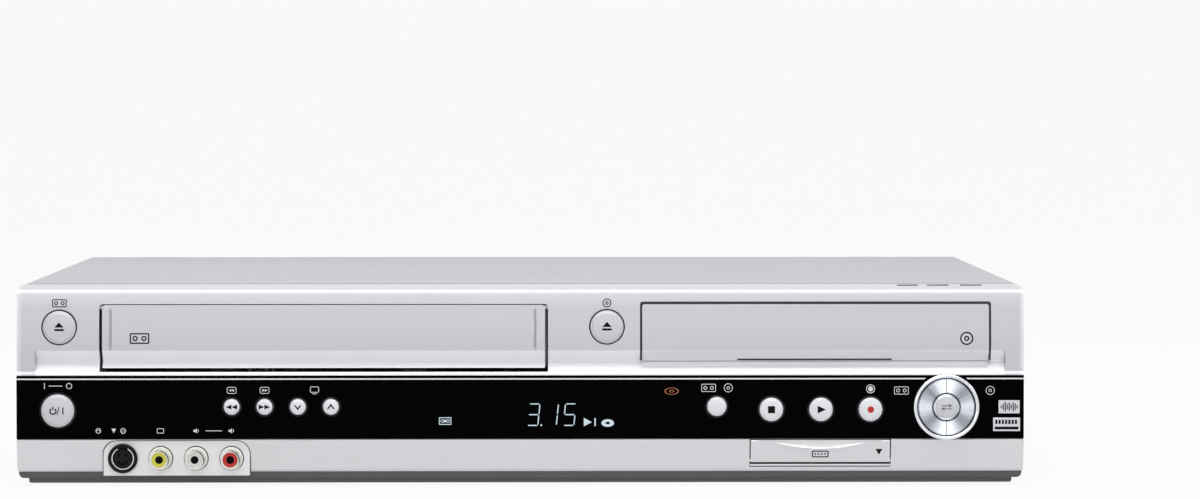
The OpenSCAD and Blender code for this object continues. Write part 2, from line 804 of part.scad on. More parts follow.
// Tray with a well for 12 cm and 8 cm discs, a slot for the pickup, guide flanges and the rack
module disc_tray() {
    z0 = base_z + tray_floor;
    z1 = base_z + tray_top;
    y1 = tray_front_y + tray_len;
    pitch = PI * tooth_module;
    first = gear_y - 4.5 * pitch;
    count = floor((y1 - 2 - first) / pitch) + 1;
    color("#2b2d31") difference() {
        union() {
            block([tray_x - tray_w / 2, tray_x + tray_w / 2], [tray_front_y, y1], [z0, z1]);
            block([tray_x - tray_w / 2 - flange_w, tray_x + tray_w / 2 + flange_w],
                [tray_front_y + 10, y1], [z0, z0 + flange_h]);
            translate([rack_line, 0, z0 - rack_h]) linear_extrude(rack_h + 1)
                polygon(rack_outline(first, count));
        }
        post(tray_x, disc_y, tray_top - well_h, tray_top + 1, disc_r, $fn = 96);
        post(tray_x, disc_y, tray_top - well_h - small_well_h, tray_top, small_disc_r, $fn = 96);
        post(tray_x, disc_y, tray_floor - 1, tray_top, slot_w / 2);
        block([tray_x - slot_w / 2, tray_x + slot_w / 2], [disc_y, disc_y + disc_r + 14],
            [z0 - 1, z1 + 1]);
        for (s = [-1, 1])
            post(tray_x + s * (disc_r - 3), disc_y - disc_r + 6, tray_top - well_h - 1,
                tray_top + 1, 11);
        block([tray_x - tray_w / 2 + 6, tray_x + tray_w / 2 - 6],
            [disc_y + disc_r + 16, y1 - 4], [z0 + 3, z1 + 1]);
    }
}

// ---- buttons

small_h = window_mid + 0.2;
deck_row = window_mid - 1.1;

// Name, place across, height above the base, radius, and whether it sits in the upper face
BUTTONS = [
    ["eject", -half_w + 18.2, top_h - 17.7, eject_r, true],
    ["open", 36.8, top_h - 17.6, eject_r, true],
    ["power", -half_w + 17.6, window_mid - 1.4, power_r, false],
    ["rewind", -123.3, small_h, small_r, false],
    ["forward", -109.3, small_h, small_r, false],
    ["channel_down", -95.1, small_h, small_r, false],
    ["channel_up", -81, small_h, small_r, false],
    ["select", 83.7, small_h, select_r, false],
    ["stop", 107, deck_row, deck_button_r, false],
    ["play", 128.2, deck_row, deck_button_r, false],
    ["record", 149.4, deck_row, deck_button_r, false]];

// Push button: domed cap, flange behind the moulding and a stem towards its switch
module push_button(i) {
    b = BUTTONS[i];
    r = b[3];
    front = b[4] ? face_d - 0.3 : -button_proud;
    seat = (b[4] ? face_back : window_back) + boss_gap;
    color("gainsboro") turned_front(b[1], b[2])
        polygon(concat([[0, front]],
            arc(r - 0.8, front + 0.9, 0.8, -90, 0, 4),
            [[r, seat], [r + flange_reach, seat], [r + flange_reach, seat + flange_t], [2, seat + flange_t],
                [2, stem_end], [0, stem_end]]));
}

dial_z = window_mid + dial_h;
dial_floor = window_back + boss_gap;
dial_floor_t = 1.2;
dial_ring_t = 1.5;
dial_face = 0.6 - dial_proud;
dial_plate_t = 1.4;
dial_shelf = dial_face + dial_plate_t + button_travel + 0.1;
dial_gap = 0.4;
neck_r = dial_r - 1.4;
neck_t = 1.2;
stem_x = 9;

// Dial frame: outer ring on a neck, floor with two holes, back flange and middle disc
module copy_bezel() {
    ring_in = dial_r - dial_ring_t;
    ring_back = -0.25;
    crest = -dial_proud + dial_ring_t / 2;
    color("silver") difference() {
        turned_front(dial_x, dial_z)
            polygon(concat([[0, dial_face - 0.3], [dial_hub_r - 0.8, dial_face - 0.3],
                [dial_hub_r, dial_face + 0.5], [dial_hub_r, dial_floor],
                [neck_r - neck_t, dial_floor], [neck_r - neck_t, dial_shelf],
                [ring_in, dial_shelf]],
                arc(dial_r - dial_ring_t / 2, crest, dial_ring_t / 2, 180, 360),
                [[dial_r, ring_back], [neck_r, ring_back], [neck_r, dial_floor],
                    [neck_r + 2, dial_floor], [neck_r + 2, dial_floor + dial_floor_t],
                    [0, dial_floor + dial_floor_t]]));
        for (s = [-1, 1])
            bar_y(dial_x + s * stem_x, dial_z, dial_floor - 2, dial_floor + 5, 2.3);
    }
}

// One half of the ring between the dial's middle and its frame, with a clipped stem
module copy_half(s) {
    rim = dial_r - dial_ring_t - dial_gap;
    hub = dial_hub_r + dial_gap;
    split = 0.15;
    color("gainsboro") union() {
        difference() {
            turned_front(dial_x, dial_z)
                polygon([[hub, dial_face + 0.5], [hub + 0.4, dial_face], [rim - 0.5, dial_face],
                    [rim, dial_face + 0.5], [rim, dial_face + dial_plate_t],
                    [hub, dial_face + dial_plate_t]]);
            translate([dial_x + (s > 0 ? split - 30 : -split), front_y - 10, base_z + dial_z - 20])
                cube([30, 30, 40]);
        }
        bar_y(dial_x + s * stem_x, dial_z, dial_face + dial_plate_t - 0.2, stem_end, 1.9);
        bar_y(dial_x + s * stem_x, dial_z, dial_floor + dial_floor_t + 0.3,
            dial_floor + dial_floor_t + 1.2, 2.9);
    }
}

// ---- front sockets

pad_front = 1;
pad_t = 2.4;

// Flat pad that carries the front sockets
module socket_pad() {
    color("silver") difference() {
        through_front(pad_front, pad_front + pad_t) polygon(pad_outline(0));
        for (i = [0:2])
            bar_y(phono_x + i * phono_pitch, socket_h, -5, 10, phono_r + 0.1);
        bar_y(svideo_x, socket_h, -5, 10, svideo_r - 0.9);
    }
}

// Turned metal sleeve of a phono socket, its front at depth 0 and its flange on the panel
module phono_sleeve(reach, panel_t) {
    rotate_extrude()
        polygon([[3.25, 0], [phono_r - 0.3, 0], [phono_r, 0.3], [phono_r, reach - 0.8],
            [phono_r + 0.8, reach - 0.8], [phono_r + 0.8, reach], [phono_r - 0.2, reach],
            [phono_r - 0.2, reach + panel_t], [3.25, reach + panel_t]]);
}

// Coloured insert of a phono socket with its middle contact hole and its moulded body
module phono_insert(reach, panel_t, body, body_len) {
    difference() {
        union() {
            translate([0, 0, 0.4]) cylinder(h = reach + panel_t - 0.4, r = 3.2);
            translate([-body / 2, -body / 2, reach + panel_t]) cube([body, body, body_len]);
        }
        translate([0, 0, -1]) cylinder(h = reach + 1, r = phono_hole_r);
    }
}

// Places children at a front socket, looking along +Y from its front end
module at_front_socket(x) {
    translate([x, front_y - socket_reach, base_z + socket_h]) rotate([-90, 0, 0])
        children();
}

module phono_sleeves() {
    color("silver") for (i = [0:2])
        at_front_socket(phono_x + i * phono_pitch)
            phono_sleeve(socket_reach + pad_front, pad_t);
}

phono_colors = ["khaki", "white", "crimson"];

module phono_inserts() {
    for (i = [0:2])
        color(phono_colors[i]) at_front_socket(phono_x + i * phono_pitch)
            phono_insert(socket_reach + pad_front, pad_t, 10, key_front - pad_front - pad_t);
}

// Four-pin round socket: rim, ring groove for the plug's shell, pin holes and key slot
module svideo_shape(r, panel_d, body_len) {
    difference() {
        union() {
            rotate_extrude()
                polygon([[0, 0.4], [r - 2.4, 0.4], [r - 2.4, 0], [r - 0.5, -0.6], [r, -0.1],
                    [r, 1.5], [r - 1, 1.5], [r - 1, panel_d + 2], [0, panel_d + 2]]);
            translate([-6, -5, panel_d + 1.5]) cube([12, 10, body_len]);
        }
        rotate_extrude() polygon([[r - 2.3, -1], [r - 1.5, -1], [r - 1.5, 3], [r - 2.3, 3]]);
        for (a = [45, 135, 225, 315])
            rotate([0, 0, a]) translate([2.2, 0, -1]) cylinder(h = 4, r = 0.6);
        translate([-1.1, 1.9, -1]) cube([2.2, 1, 4]);
    }
}

module svideo_socket() {
    color("#222222") translate([svideo_x, front_y + pad_front - 1.5, base_z + socket_h])
        rotate([-90, 0, 0]) svideo_shape(svideo_r, pad_t, key_front - pad_front - pad_t);
}

dv_pin_d = 2.9;
dv_pin_h = dv_low + 2.8;
dv_pin_r = 0.7;

// Small door that leans with the lower panel, with a scooped upper edge and stub pins
module dv_door() {
    x0 = dv_left + dv_gap;
    x1 = dv_right - dv_gap;
    low = dv_low + 2;
    high = window_low - 0.7;
    top_d = -0.1;
    foot_d = top_d + (high - low) * lower_lean / (lower_mid - plinth_top);
    scoop_r = 150;
    color("gainsboro") union() {
        difference() {
            intersection() {
                along_x(x0, x1)
                    polygon([[top_d + 0.3, high], [top_d, high - 0.4], [foot_d, low + 0.3],
                        [foot_d + 0.3, low], [foot_d + dv_t + 0.6, low], [top_d + dv_t + 0.4, high]]);
                through_front(-2, 12) polygon(tile(x0, x1, low, high, 0.3, 0.5));
            }
            translate([dv_x, front_y + top_d + 1, base_z + high + scoop_r - 2.6])
                rotate([90, 0, 0]) cylinder(h = 10, r = scoop_r, $fn = 240);
        }
        for (x = [x0 - dv_gap - 1.5, x1 - 1])
            bar_x(x, x + dv_gap + 2.5, dv_pin_d, dv_pin_h, dv_pin_r);
    }
}

// Pocket behind the door's opening, with the shielded socket in its back wall
module dv_socket() {
    low = dv_low - 1.3;
    high = window_low + 1.2;
    lip = window_back + boss_gap;
    color("silver") difference() {
        union() {
            difference() {
                along_x(dv_left - dv_wall, dv_right + dv_wall)
                    polygon([[dv_depth + dv_wall, low], [dv_depth + dv_wall, high], [lip, high],
                        [lip, window_low - 0.6], [wall_t + 0.7, window_low - 3],
                        [lower_lean + wall_t + 0.7, low]]);
                through_front(-5, dv_depth)
                    polygon(tile(dv_left, dv_right, dv_low, high - dv_wall, 0.3, 0.3));
            }
            slab([dv_x - 4, dv_x + 4], [front_y + dv_depth - 3, front_y + 22],
                [socket_h - 2.5, socket_h + 2.5]);
        }
        slab([dv_x - 3, dv_x + 3], [front_y + dv_depth - 4, front_y + 18],
            [socket_h - 1.5, socket_h + 1.5]);
    }
}

// ---- display and key board

display_low_x = -45;
display_high_x = 60;
display_low = window_low + 4.3;
display_high = window_top - 3.8;
display_t = 6;

// Glass display tube with its sealing pip and a row of pins
module display_module() {
    d0 = key_front - display_t - 1;
    color("darkslategray") {
        through_front(d0, d0 + display_t)
            polygon(tile(display_low_x, display_high_x, display_low, display_high, 1, 1));
        through_front(d0 + display_t, key_front)
            polygon(tile(display_low_x + 6, display_high_x - 6, display_low + 1, display_low + 4,
                0.2, 0.2));
    }
}

// Front circuit board with a press switch behind every button
module key_board() {
    color("seagreen") {
        for (t = [
            [-half_w + 5, half_w - 8, window_low + 2.2, window_top - 2],
            [-half_w + 5, flap_left - 4, window_top - 4, flap_lintel],
            [flap_right + 8, tray_x - door_half - 5, window_top - 4, flap_lintel],
            [pad_x - pad_w / 2, pad_x + pad_w / 2, plinth_top + 1, window_low + 4]])
            through_front(key_front, key_front + board_t)
                polygon(tile(t[0], t[1], t[2], t[3], 1, 1));
        for (p = concat([for (b = BUTTONS) [b[1], b[2]]], [for (s = [-1, 1]) [dial_x + s * stem_x, dial_z]]))
            through_front(key_front - switch_h, key_front)
                polygon(tile(p[0] - 3, p[0] + 3, p[1] - 3, p[1] + 3, 0.4, 0.4));
    }
}

// ---- boards and back sockets

// Flat can capacitor or coil on a board
module can(x, y, r, h) {
    translate([x, y, board_top]) cylinder(h = h, r = r, $fn = 32);
}

// Main board: signal chips, memory, a shield can, capacitors and ribbon connectors
module main_board() {
    color("seagreen") union() {
        block([main_low_x, main_high_x], [board_front, board_back], [board_z, board_top]);
        for (c = [[60, 30, 22, 2.2], [100, 20, 28, 2.4], [140, 26, 20, 2], [24, 34, 14, 1.6]])
            block([c[0], c[0] + c[2]], [board_front + c[1], board_front + c[1] + c[2]],
                [board_top - eps, board_top + c[3]]);
        block([main_high_x - 34, main_high_x - 4], [board_front + 10, aerial_front - 17],
            [board_top - eps, board_top + 12]);
        for (x = [30, 44, 58])
            block([x, x + 10], [board_front + 4, board_front + 9], [board_top - eps, board_top + 7]);
        for (i = [0:5])
            can(24 + i * 9, board_front + 22, 3, 9);
    }
}

// Power board: transformer, mains capacitor, heat sink with fins, fuse and capacitors
module power_board() {
    color("peru") union() {
        block([power_low_x, power_high_x], [board_front, board_back], [board_z, board_top]);
        block([-170, -134], [board_front + 14, board_front + 44], [board_top - eps, board_top + 27]);
        block([-168, -136], [board_front + 12, board_front + 46], [board_top + 5, board_top + 22]);
        can(-118, board_front + 26, 11, 32);
        for (i = [0:6])
            block([-100 + i * 4, -98.6 + i * 4], [board_back - 46, board_back - 18],
                [board_top + 3, board_top + 34]);
        block([-102, -70], [board_back - 46, board_back - 18], [board_top - eps, board_top + 4]);
        for (i = [0:3])
            can(-84 + i * 7, board_front + 14, 3, 12 + i % 2 * 4);
    }
}

inlet_body = 20;

// Two-pin mains inlet: flange, figure-of-eight recess and two pins
module mains_inlet() {
    y1 = back_y + 1.5;
    color("#222222") difference() {
        union() {
            slab([inlet_x - 12.5, inlet_x + 12.5], [back_y - inlet_body, y1],
                [inlet_h - 8.5, inlet_h + 8.5]);
            slab([inlet_x - 15, inlet_x + 15], [back_y, y1], [inlet_h - 10.5, inlet_h + 10.5]);
            block([inlet_x - 10, inlet_x + 10], [back_y - inlet_body, back_y - 8],
                [board_top, base_z + inlet_h]);
        }
        for (s = [-1, 1])
            translate([inlet_x + s * 4.3, y1 - 12, base_z + inlet_h]) rotate([-90, 0, 0])
                cylinder(h = 14, r = 4.3);
        slab([inlet_x - 4.3, inlet_x + 4.3], [y1 - 12, y1 + 1], [inlet_h - 3.4, inlet_h + 3.4]);
    }
    color("silver") for (s = [-1, 1])
        translate([inlet_x + s * 4.3, y1 - 13, base_z + inlet_h]) rotate([-90, 0, 0])
            cylinder(h = 11, r = 1.15);
}

block_low_x = 14;
block_high_x = optical_x + 7;
block_depth = 12;

// Moulded block behind the back panel that holds the phono, S-video and optical sockets
module rear_socket_block() {
    color("#222222") difference() {
        union() {
            block([block_low_x, block_high_x],
                [back_y - sheet_t - block_depth, back_y - sheet_t],
                [board_top, base_z + row_high + 8]);
            for (h = [row_low, row_high])
                translate([22, back_y + 1.5, base_z + h]) rotate([90, 0, 0])
                    svideo_shape(svideo_r, sheet_t + 0.2, 2);
            slab([optical_x - 5.7, optical_x + 5.7], [back_y - sheet_t - eps, back_y + 1],
                [row_low - 4.7, row_low + 4.7]);
        }
        for (x = phono_back_x, h = [row_low, row_high])
            translate([x, back_y, base_z + h]) rotate([90, 0, 0]) translate([0, 0, -1])
                cylinder(h = 9, r = phono_r + 0.05);
        slab([optical_x - 3, optical_x + 3], [back_y - 2, back_y + 2],
            [row_low - 2.5, row_low + 2.5]);
    }
}

// Places children at a back socket, looking along -Y from its back end
module at_back_socket(x, h) {
    translate([x, back_y + socket_reach, base_z + h]) rotate([90, 0, 0]) children();
}

module rear_phono_sleeves() {
    color("silver") for (x = phono_back_x, h = [row_low, row_high])
        at_back_socket(x, h) phono_sleeve(socket_reach, sheet_t + 4);
}

module rear_phono_inserts() {
    color("khaki") for (x = phono_back_x, h = [row_low, row_high])
        at_back_socket(x, h) phono_insert(socket_reach, sheet_t + 2, 4.4, 1.6);
}

// Two threaded aerial sockets on a shielded box
module aerial_sockets() {
    color("silver") union() {
        block([aerial_x - 13, aerial_x + 13], [aerial_front, back_y - sheet_t],
            [board_top, base_z + row_high + 12]);
        for (h = [row_low, row_high])
            translate([aerial_x, back_y + socket_reach, base_z + h]) rotate([90, 0, 0])
                rotate_extrude() polygon([[1, 0], [aerial_r - 0.4, 0], [aerial_r, 0.4],
                    [aerial_r, socket_reach - 1.5], [aerial_r + 1.6, socket_reach - 1.5],
                    [aerial_r + 1.6, socket_reach], [aerial_r, socket_reach],
                    [aerial_r, socket_reach + sheet_t + eps],
                    [0, socket_reach + sheet_t + eps], [0, 6], [1, 6]]);
    }
}

// Square fan frame: round duct, four screw lugs, three struts and the motor cup
module fan_frame() {
    y1 = back_y - sheet_t;
    h = fan_w / 2;
    color("#222222") translate([fan_x, y1, base_z + fan_h]) rotate([90, 0, 0]) union() {
        difference() {
            linear_extrude(fan_t) polygon(tile(-h, h, -h, h, 3, 3));
            translate([0, 0, -1]) cylinder(h = fan_t + 2, r = h - 1);
            for (x = [-1, 1], y = [-1, 1])
                translate([x * (h - 3.5), y * (h - 3.5), -1])
                    cylinder(h = fan_t + 2, r = 1.7);
        }
        difference() {
            union() {
                for (a = [0, 120, 240])
                    rotate([0, 0, a]) translate([6, -1, fan_t - 1.4]) cube([h - 6.5, 2, 1.2]);
                translate([0, 0, fan_t - 1.5]) cylinder(h = 1.5, r = 8);
            }
            translate([0, 0, fan_t - 3]) cylinder(h = 4, r = 1 + run_gap);
        }
    }
}

blade_count = 7;

// Fan rotor: hub, shaft and slanted blades
module fan_rotor() {
    y1 = back_y - sheet_t;
    h = fan_w / 2;
    blade_out = h - 1.8;
    color("#333333") translate([fan_x, y1, base_z + fan_h]) rotate([90, 0, 0]) union() {
        translate([0, 0, 1]) cylinder(h = fan_t - 3, r = 8);
        translate([0, 0, 2]) cylinder(h = fan_t - 2, r = 1);
        for (i = [0:blade_count - 1])
            rotate([0, 0, i * 360 / blade_count])
                translate([blade_out / 2 + 3.4, 0, fan_t / 2 - 0.5]) rotate([35, 0, 0])
                    cube([blade_out - 6.8, 1, fan_t - 3], center = true);
    }
}

// ---- tape deck

// Deck plate on four legs with cage brackets, reel pins, capstan bearing and arm post
module deck_plate() {
    x0 = deck_x - deck_half;
    x1 = deck_x + deck_half;
    y1 = deck_front + deck_len;
    color("silver") difference() {
        union() {
            slab([x0, x1], [deck_front, y1], [deck_h, deck_top]);
            for (x = [x0 + 16, x1 - 16], y = [deck_front + 8, y1 - 8])
                post(x, y, sheet_t, deck_h + eps, leg_r);
            for (s = [-1, 1]) {
                cage_bracket(s);
                post(deck_x + s * reel_pitch / 2, reel_y, deck_h, 32, 2);
            }
            post(capstan_x, capstan_y, deck_h, 24, 5);
            post(arm_x, pinch_y, deck_h, 42, 2);
        }
        post(capstan_x, capstan_y, deck_h - 1, 25, capstan_r + run_gap);
    }
}

// Upright bracket beside the cage, with two slots for the cage's pins
module cage_bracket(s) {
    x_in = deck_x + s * bracket_in;
    x_out = deck_x + s * (bracket_in + bracket_t);
    slot_low = cage_low + 6 - cage_drop - cage_pin_r - slide_gap;
    slot_high = cage_low + 6 + cage_pin_r + slide_gap;
    difference() {
        union() {
            slab([x_in, x_out], [deck_front + 6, deck_front + 92], [deck_h, cage_high + 2]);
            slab([deck_x + s * (deck_half - 1), x_out],
                [deck_front + 6, deck_front + 92], [deck_h, deck_top]);
        }
        for (y = [cage_front + 15, cage_front + 75])
            translate([min(x_in, x_out) - 1, y - cage_pin_r - slide_gap, base_z + slot_low])
                cube([bracket_t + 2, 2 * (cage_pin_r + slide_gap), slot_high - slot_low]);
    }
}

// Sheet cage that takes the cassette: floor with reel holes, sides, guide pins and top straps
module cassette_cage() {
    x0 = deck_x - cage_half;
    x1 = deck_x + cage_half;
    y1 = cage_front + cage_len;
    z0 = base_z + cage_low;
    z1 = base_z + cage_high;
    color("gray") difference() {
        union() {
            block([x0, x1], [cage_front, y1], [z0, z0 + sheet_t]);
            block([x0, x0 + sheet_t], [cage_front, y1], [z0, z1]);
            block([x1 - sheet_t, x1], [cage_front, y1], [z0, z1]);
            for (y = [cage_front + 20, cage_front + 70])
                block([x0, x1], [y, y + 14], [z1 - sheet_t, z1]);
            for (s = [-1, 1], y = [cage_front + 15, cage_front + 75])
                translate([deck_x + s * (cage_half + 1.9), y, z0 + 6]) rotate([0, 90, 0])
                    cylinder(h = 3.8 + eps, r = cage_pin_r, center = true);
        }
        for (s = [-1, 1])
            translate([deck_x + s * reel_pitch / 2, reel_y, z0 - 1])
                cylinder(h = sheet_t + 2, r = reel_r + 3);
        block([deck_x - 20, deck_x + 20], [y1 - 40, y1 + 1], [z0 - 1, z0 + sheet_t + 1]);
    }
}

// Fixed lower drum on its pedestal, tilted, with the upper drum's shaft
module drum_base() {
    color("silver") union() {
        post(drum_x, drum_y, deck_top, drum_split - 12, drum_r - 5);
        translate([drum_x, drum_y, base_z + drum_split]) rotate([drum_tilt, 0, 0]) {
            translate([0, 0, -14]) cylinder(h = 14, r = drum_r, $fn = 96);
            cylinder(h = drum_top - drum_split - 2, r = 3);
        }
    }
}

// Turning upper drum with its head slots and rotor on top
module head_drum() {
    color("gainsboro") translate([drum_x, drum_y, base_z + drum_split])
        rotate([drum_tilt, 0, 0]) difference() {
            union() {
                translate([0, 0, 0.3]) cylinder(h = 12, r = drum_r, $fn = 96);
                translate([0, 0, 12.3 - eps])
                    cylinder(h = drum_top - drum_split - 12.3, r = 12);
            }
            translate([0, 0, -1]) cylinder(h = 30, r = 3 + run_gap);
            for (a = [0:60:300])
                rotate([0, 0, a]) translate([drum_r - 2, -2, 0]) cube([4, 4, 3]);
            for (a = [30:60:330])
                rotate([0, 0, a]) translate([22, 0, 8]) cylinder(h = 6, r = 3);
        }
}

// Capstan shaft with its flywheel under the deck
module capstan() {
    color("silver") translate([capstan_x, capstan_y, base_z]) rotate_extrude()
        polygon([[0, 2.2], [19, 2.2], [20, 3], [20, 6.4], [19, 7.2], [6, 7.2],
            [6, deck_h - 0.3], [capstan_r, deck_h - 0.3], [capstan_r, 46.7],
            [capstan_r - 0.3, 47], [0, 47]]);
}

// Arm on its post, with the pin that hangs the roller
module pinch_arm() {
    color("gray") difference() {
        union() {
            post(arm_x, pinch_y, deck_top + 0.3, 41.7, 4.5);
            slab([capstan_x, arm_x], [pinch_y - 3, pinch_y + 3], [39.7, 41.7]);
            post(capstan_x, pinch_y, 25.5, 41.7, 1.5);
            post(capstan_x, pinch_y, 25.5, 26.5, 3);
            post(capstan_x, pinch_y, 39.7, 41.7, 3);
        }
        post(arm_x, pinch_y, 0, 60, 2 + run_gap);
    }
}

// Rubber roller on its sleeve
module pinch_roller() {
    color("#222222") translate([capstan_x, pinch_y, base_z]) rotate_extrude()
        polygon([[1.5 + run_gap, 26.8], [pinch_r - 0.5, 26.8], [pinch_r, 27.3],
            [pinch_r, 38.9], [pinch_r - 0.5, 39.4], [1.5 + run_gap, 39.4]]);
}

// Reel table: skirt, flange and splined spindle on its pin
module reel(s) {
    color("#333333") translate([deck_x + s * reel_pitch / 2, reel_y, base_z]) difference() {
        union() {
            rotate_extrude()
                polygon([[0, deck_top + 0.3], [8, deck_top + 0.3], [8, 18], [reel_r, 19],
                    [reel_r, 23], [reel_r - 2, 23.6], [7.5, 23.6], [7.5, 24.5], [5, 24.5],
                    [5, 34], [2.6, 37], [0, 37]]);
            for (a = [0, 120, 240])
                rotate([0, 0, a]) translate([4, -1, 24]) cube([3.2, 2, 10]);
        }
        translate([0, 0, deck_top]) cylinder(h = 32.3 - deck_top, r = 2 + run_gap);
    }
}

// Four posts that lead the tape round the drum, with the erase head and the audio head
module tape_guides() {
    color("silver") union() {
        for (p = [[-44, -4, 3.2], [-38, 22, 3.2], [42, 24, 3.2], [38, -3, 2.5]]) {
            post(drum_x + p[0], drum_y + p[1], deck_top, 44, 1.5);
            post(drum_x + p[0], drum_y + p[1], 26, 40, p[2]);
            post(drum_x + p[0], drum_y + p[1], 40, 41, p[2] + 1.2);
            post(drum_x + p[0], drum_y + p[1], 25, 26, p[2] + 1.2);
        }
        slab([drum_x - 62, drum_x - 50], [drum_y - 28, drum_y - 20], [deck_top, 40]);
        slab([drum_x + 25, drum_x + 36], [drum_y - 33, drum_y - 25], [deck_top, 42]);
    }
}

// ---- disc drive

// Moulded frame: side rails for the tray's flanges, floor with the traverse's opening and legs
module loader_frame() {
    y0 = frame_front;
    y1 = frame_back;
    z_rail = base_z + tray_floor;
    color("#3a3d42") union() {
        difference() {
            slab([tray_x - rail_in - rail_t, tray_x + rail_in + rail_t], [y0, y1],
                [frame_low, frame_top]);
            slab([tray_x - rail_in, tray_x + rail_in], [y0 - 1, y1 - rail_t],
                [frame_low + 3, frame_top + 1]);
            slab([tray_x - 48, tray_x + 48], [gear_y + pitch_r + 6, rod_back + 6],
                [frame_low - 1, frame_low + 4]);
        }
        for (s = [-1, 1]) {
            x_out = tray_x + s * (rail_in + 0.5);
            x_low = tray_x + s * (tray_w / 2 - 1.5);
            x_high = tray_x + s * (tray_w / 2 + slide_gap + 0.2);
            block([x_out, x_low], [y0, y1 - rail_t],
                [z_rail - 2.8, z_rail - 0.3]);
            block([x_out, x_high], [y0, y1 - rail_t],
                [z_rail + flange_h + slide_gap, z_rail + flange_h + slide_gap + 2]);
        }
        slab([tray_x - rail_in - 1, tray_x + rail_in + 1], [y0, gear_y + pitch_r + 3],
            [frame_low, gear_low - 1.3]);
        post(gear_x, gear_y, gear_low - 1.4, gear_low + rack_h + 0.1, 2);
        for (s = [-1, 1], y = [y0 + 12, y1 - leg_r])
            post(tray_x + s * (rail_in + rail_t - leg_r), y, sheet_t, frame_low + eps, leg_r);
        for (p = guide_places()) {
            post(p[0], p[1], frame_low + 2, plate_h - 0.3, 3.5);
            post(p[0], p[1], plate_h - 1, plate_h + plate_t + traverse_lift + 1, guide_r);
        }
    }
}

// Involute of the gear's base circle, as radius and angle for a radius r
function involute_angle(base, r) =
    r <= base ? 0 : let (t = sqrt(pow(r / base, 2) - 1)) t * 180 / PI - atan(t);

// Outline of a spur gear: involute flanks between the root and the tip circle
function gear_outline(m, n, slack) =
    let (rp = m * n / 2, base = rp * cos(20), tip = rp + 0.9 * m, root = rp - 1.2 * m,
        half = 90 / n + involute_angle(base, rp) - slack,
        radii = [for (i = [0:4]) max(base, root) + (tip - max(base, root)) * i / 4])
    [for (k = [0:n - 1])
        each concat([polar(root, k * 360 / n - half)],
            [for (r = radii) polar(r, k * 360 / n - half + involute_angle(base, r))],
            [for (i = [4:-1:0]) polar(radii[i], k * 360 / n + half - involute_angle(base, radii[i]))],
            [polar(root, k * 360 / n + half)])];

function polar(r, a) = [r * cos(a), r * sin(a)];

// Gear that drives the tray's rack
module loading_gear() {
    color("ivory") translate([gear_x, gear_y, base_z + gear_low]) difference() {
        union() {
            linear_extrude(rack_h - 0.3)
                polygon(gear_outline(tooth_module, gear_teeth, 0.7));
            translate([0, 0, -1]) cylinder(h = 1 + eps, r = 5);
        }
        translate([0, 0, -2]) cylinder(h = 20, r = 2 + run_gap);
        for (a = [0:60:300])
            rotate([0, 0, a]) translate([5.6, 0, 1]) cylinder(h = 10, r = 1.4);
    }
}

// Places of the four pins that guide the traverse
function guide_places() =
    [for (s = [-1, 1], y = [disc_y - 18, rod_back]) [tray_x + s * guide_x, y]];

// Plate that lifts towards the disc, with the spindle motor, the rod blocks and the rods
module traverse_plate() {
    y0 = disc_y - 22;
    y1 = rod_back + 4;
    z0 = base_z + plate_h;
    color("silver") union() {
        difference() {
            block([tray_x - plate_half, tray_x + plate_half], [y0, y1], [z0, z0 + plate_t]);
            block([tray_x - rod_x - 6, tray_x + rod_x + 6], [disc_y + 19, rod_back - 4],
                [z0 - 1, z0 + plate_t + 1]);
            for (p = guide_places())
                post(p[0], p[1], plate_h - 1, plate_h + plate_t + 1, guide_r + 0.3);
        }
        post(tray_x, disc_y, plate_h, spindle_top, 13);
        post(tray_x, disc_y, plate_h, table_top - 2, 1.5);
        for (s = [-1, 1]) {
            translate([tray_x + s * rod_x, disc_y + 16, z0 + rod_h]) rotate([-90, 0, 0])
                cylinder(h = rod_back - disc_y - 16, r = rod_r);
            for (y = [disc_y + 15, rod_back - 4])
                block([tray_x + s * rod_x - 3, tray_x + s * rod_x + 3], [y, y + 4],
                    [z0, z0 + rod_h + 2.6]);
        }
    }
}

// Spindle rotor: skirt, rubber-faced table and centring cone
module turntable() {
    color("gray") translate([tray_x, disc_y, base_z]) rotate_extrude()
        polygon([[1.5 + run_gap, spindle_top + 0.3], [turntable_r - 1, spindle_top + 0.3],
            [turntable_r - 1, table_top - 3.4], [turntable_r, table_top - 3.4],
            [turntable_r, table_top - 2], [7.4, table_top - 2], [6.4, table_top],
            [0, table_top], [0, table_top - 1.7], [1.5 + run_gap, table_top - 1.7]]);
}

// Pickup sledge: two bores on one rod, a fork on the other, and the lens with its cover
module optical_pickup() {
    z0 = base_z + plate_h;
    y0 = pickup_y - pickup_len / 2;
    y1 = pickup_y + pickup_len / 2;
    color("#444444") difference() {
        union() {
            block([tray_x - rod_x - 3.5, tray_x + rod_x + 3.5], [y0, y1], [z0 + 0.4, z0 + 6.7]);
            translate([tray_x, pickup_y - 4, z0 + 6.7 - eps])
                cylinder(h = 4.4, r1 = 8, r2 = 7);
            translate([tray_x, pickup_y - 4, z0 + 11]) cylinder(h = 1, r1 = 3, r2 = 2.4);
        }
        translate([tray_x - rod_x, y0 - 1, z0 + rod_h]) rotate([-90, 0, 0])
            cylinder(h = pickup_len + 2, r = rod_r + run_gap);
        block([tray_x + rod_x - rod_r - 0.4, tray_x + rod_x + 5], [y0 - 1, y1 + 1],
            [z0 + rod_h - rod_r - 0.4, z0 + rod_h + rod_r + 0.4]);
    }
}

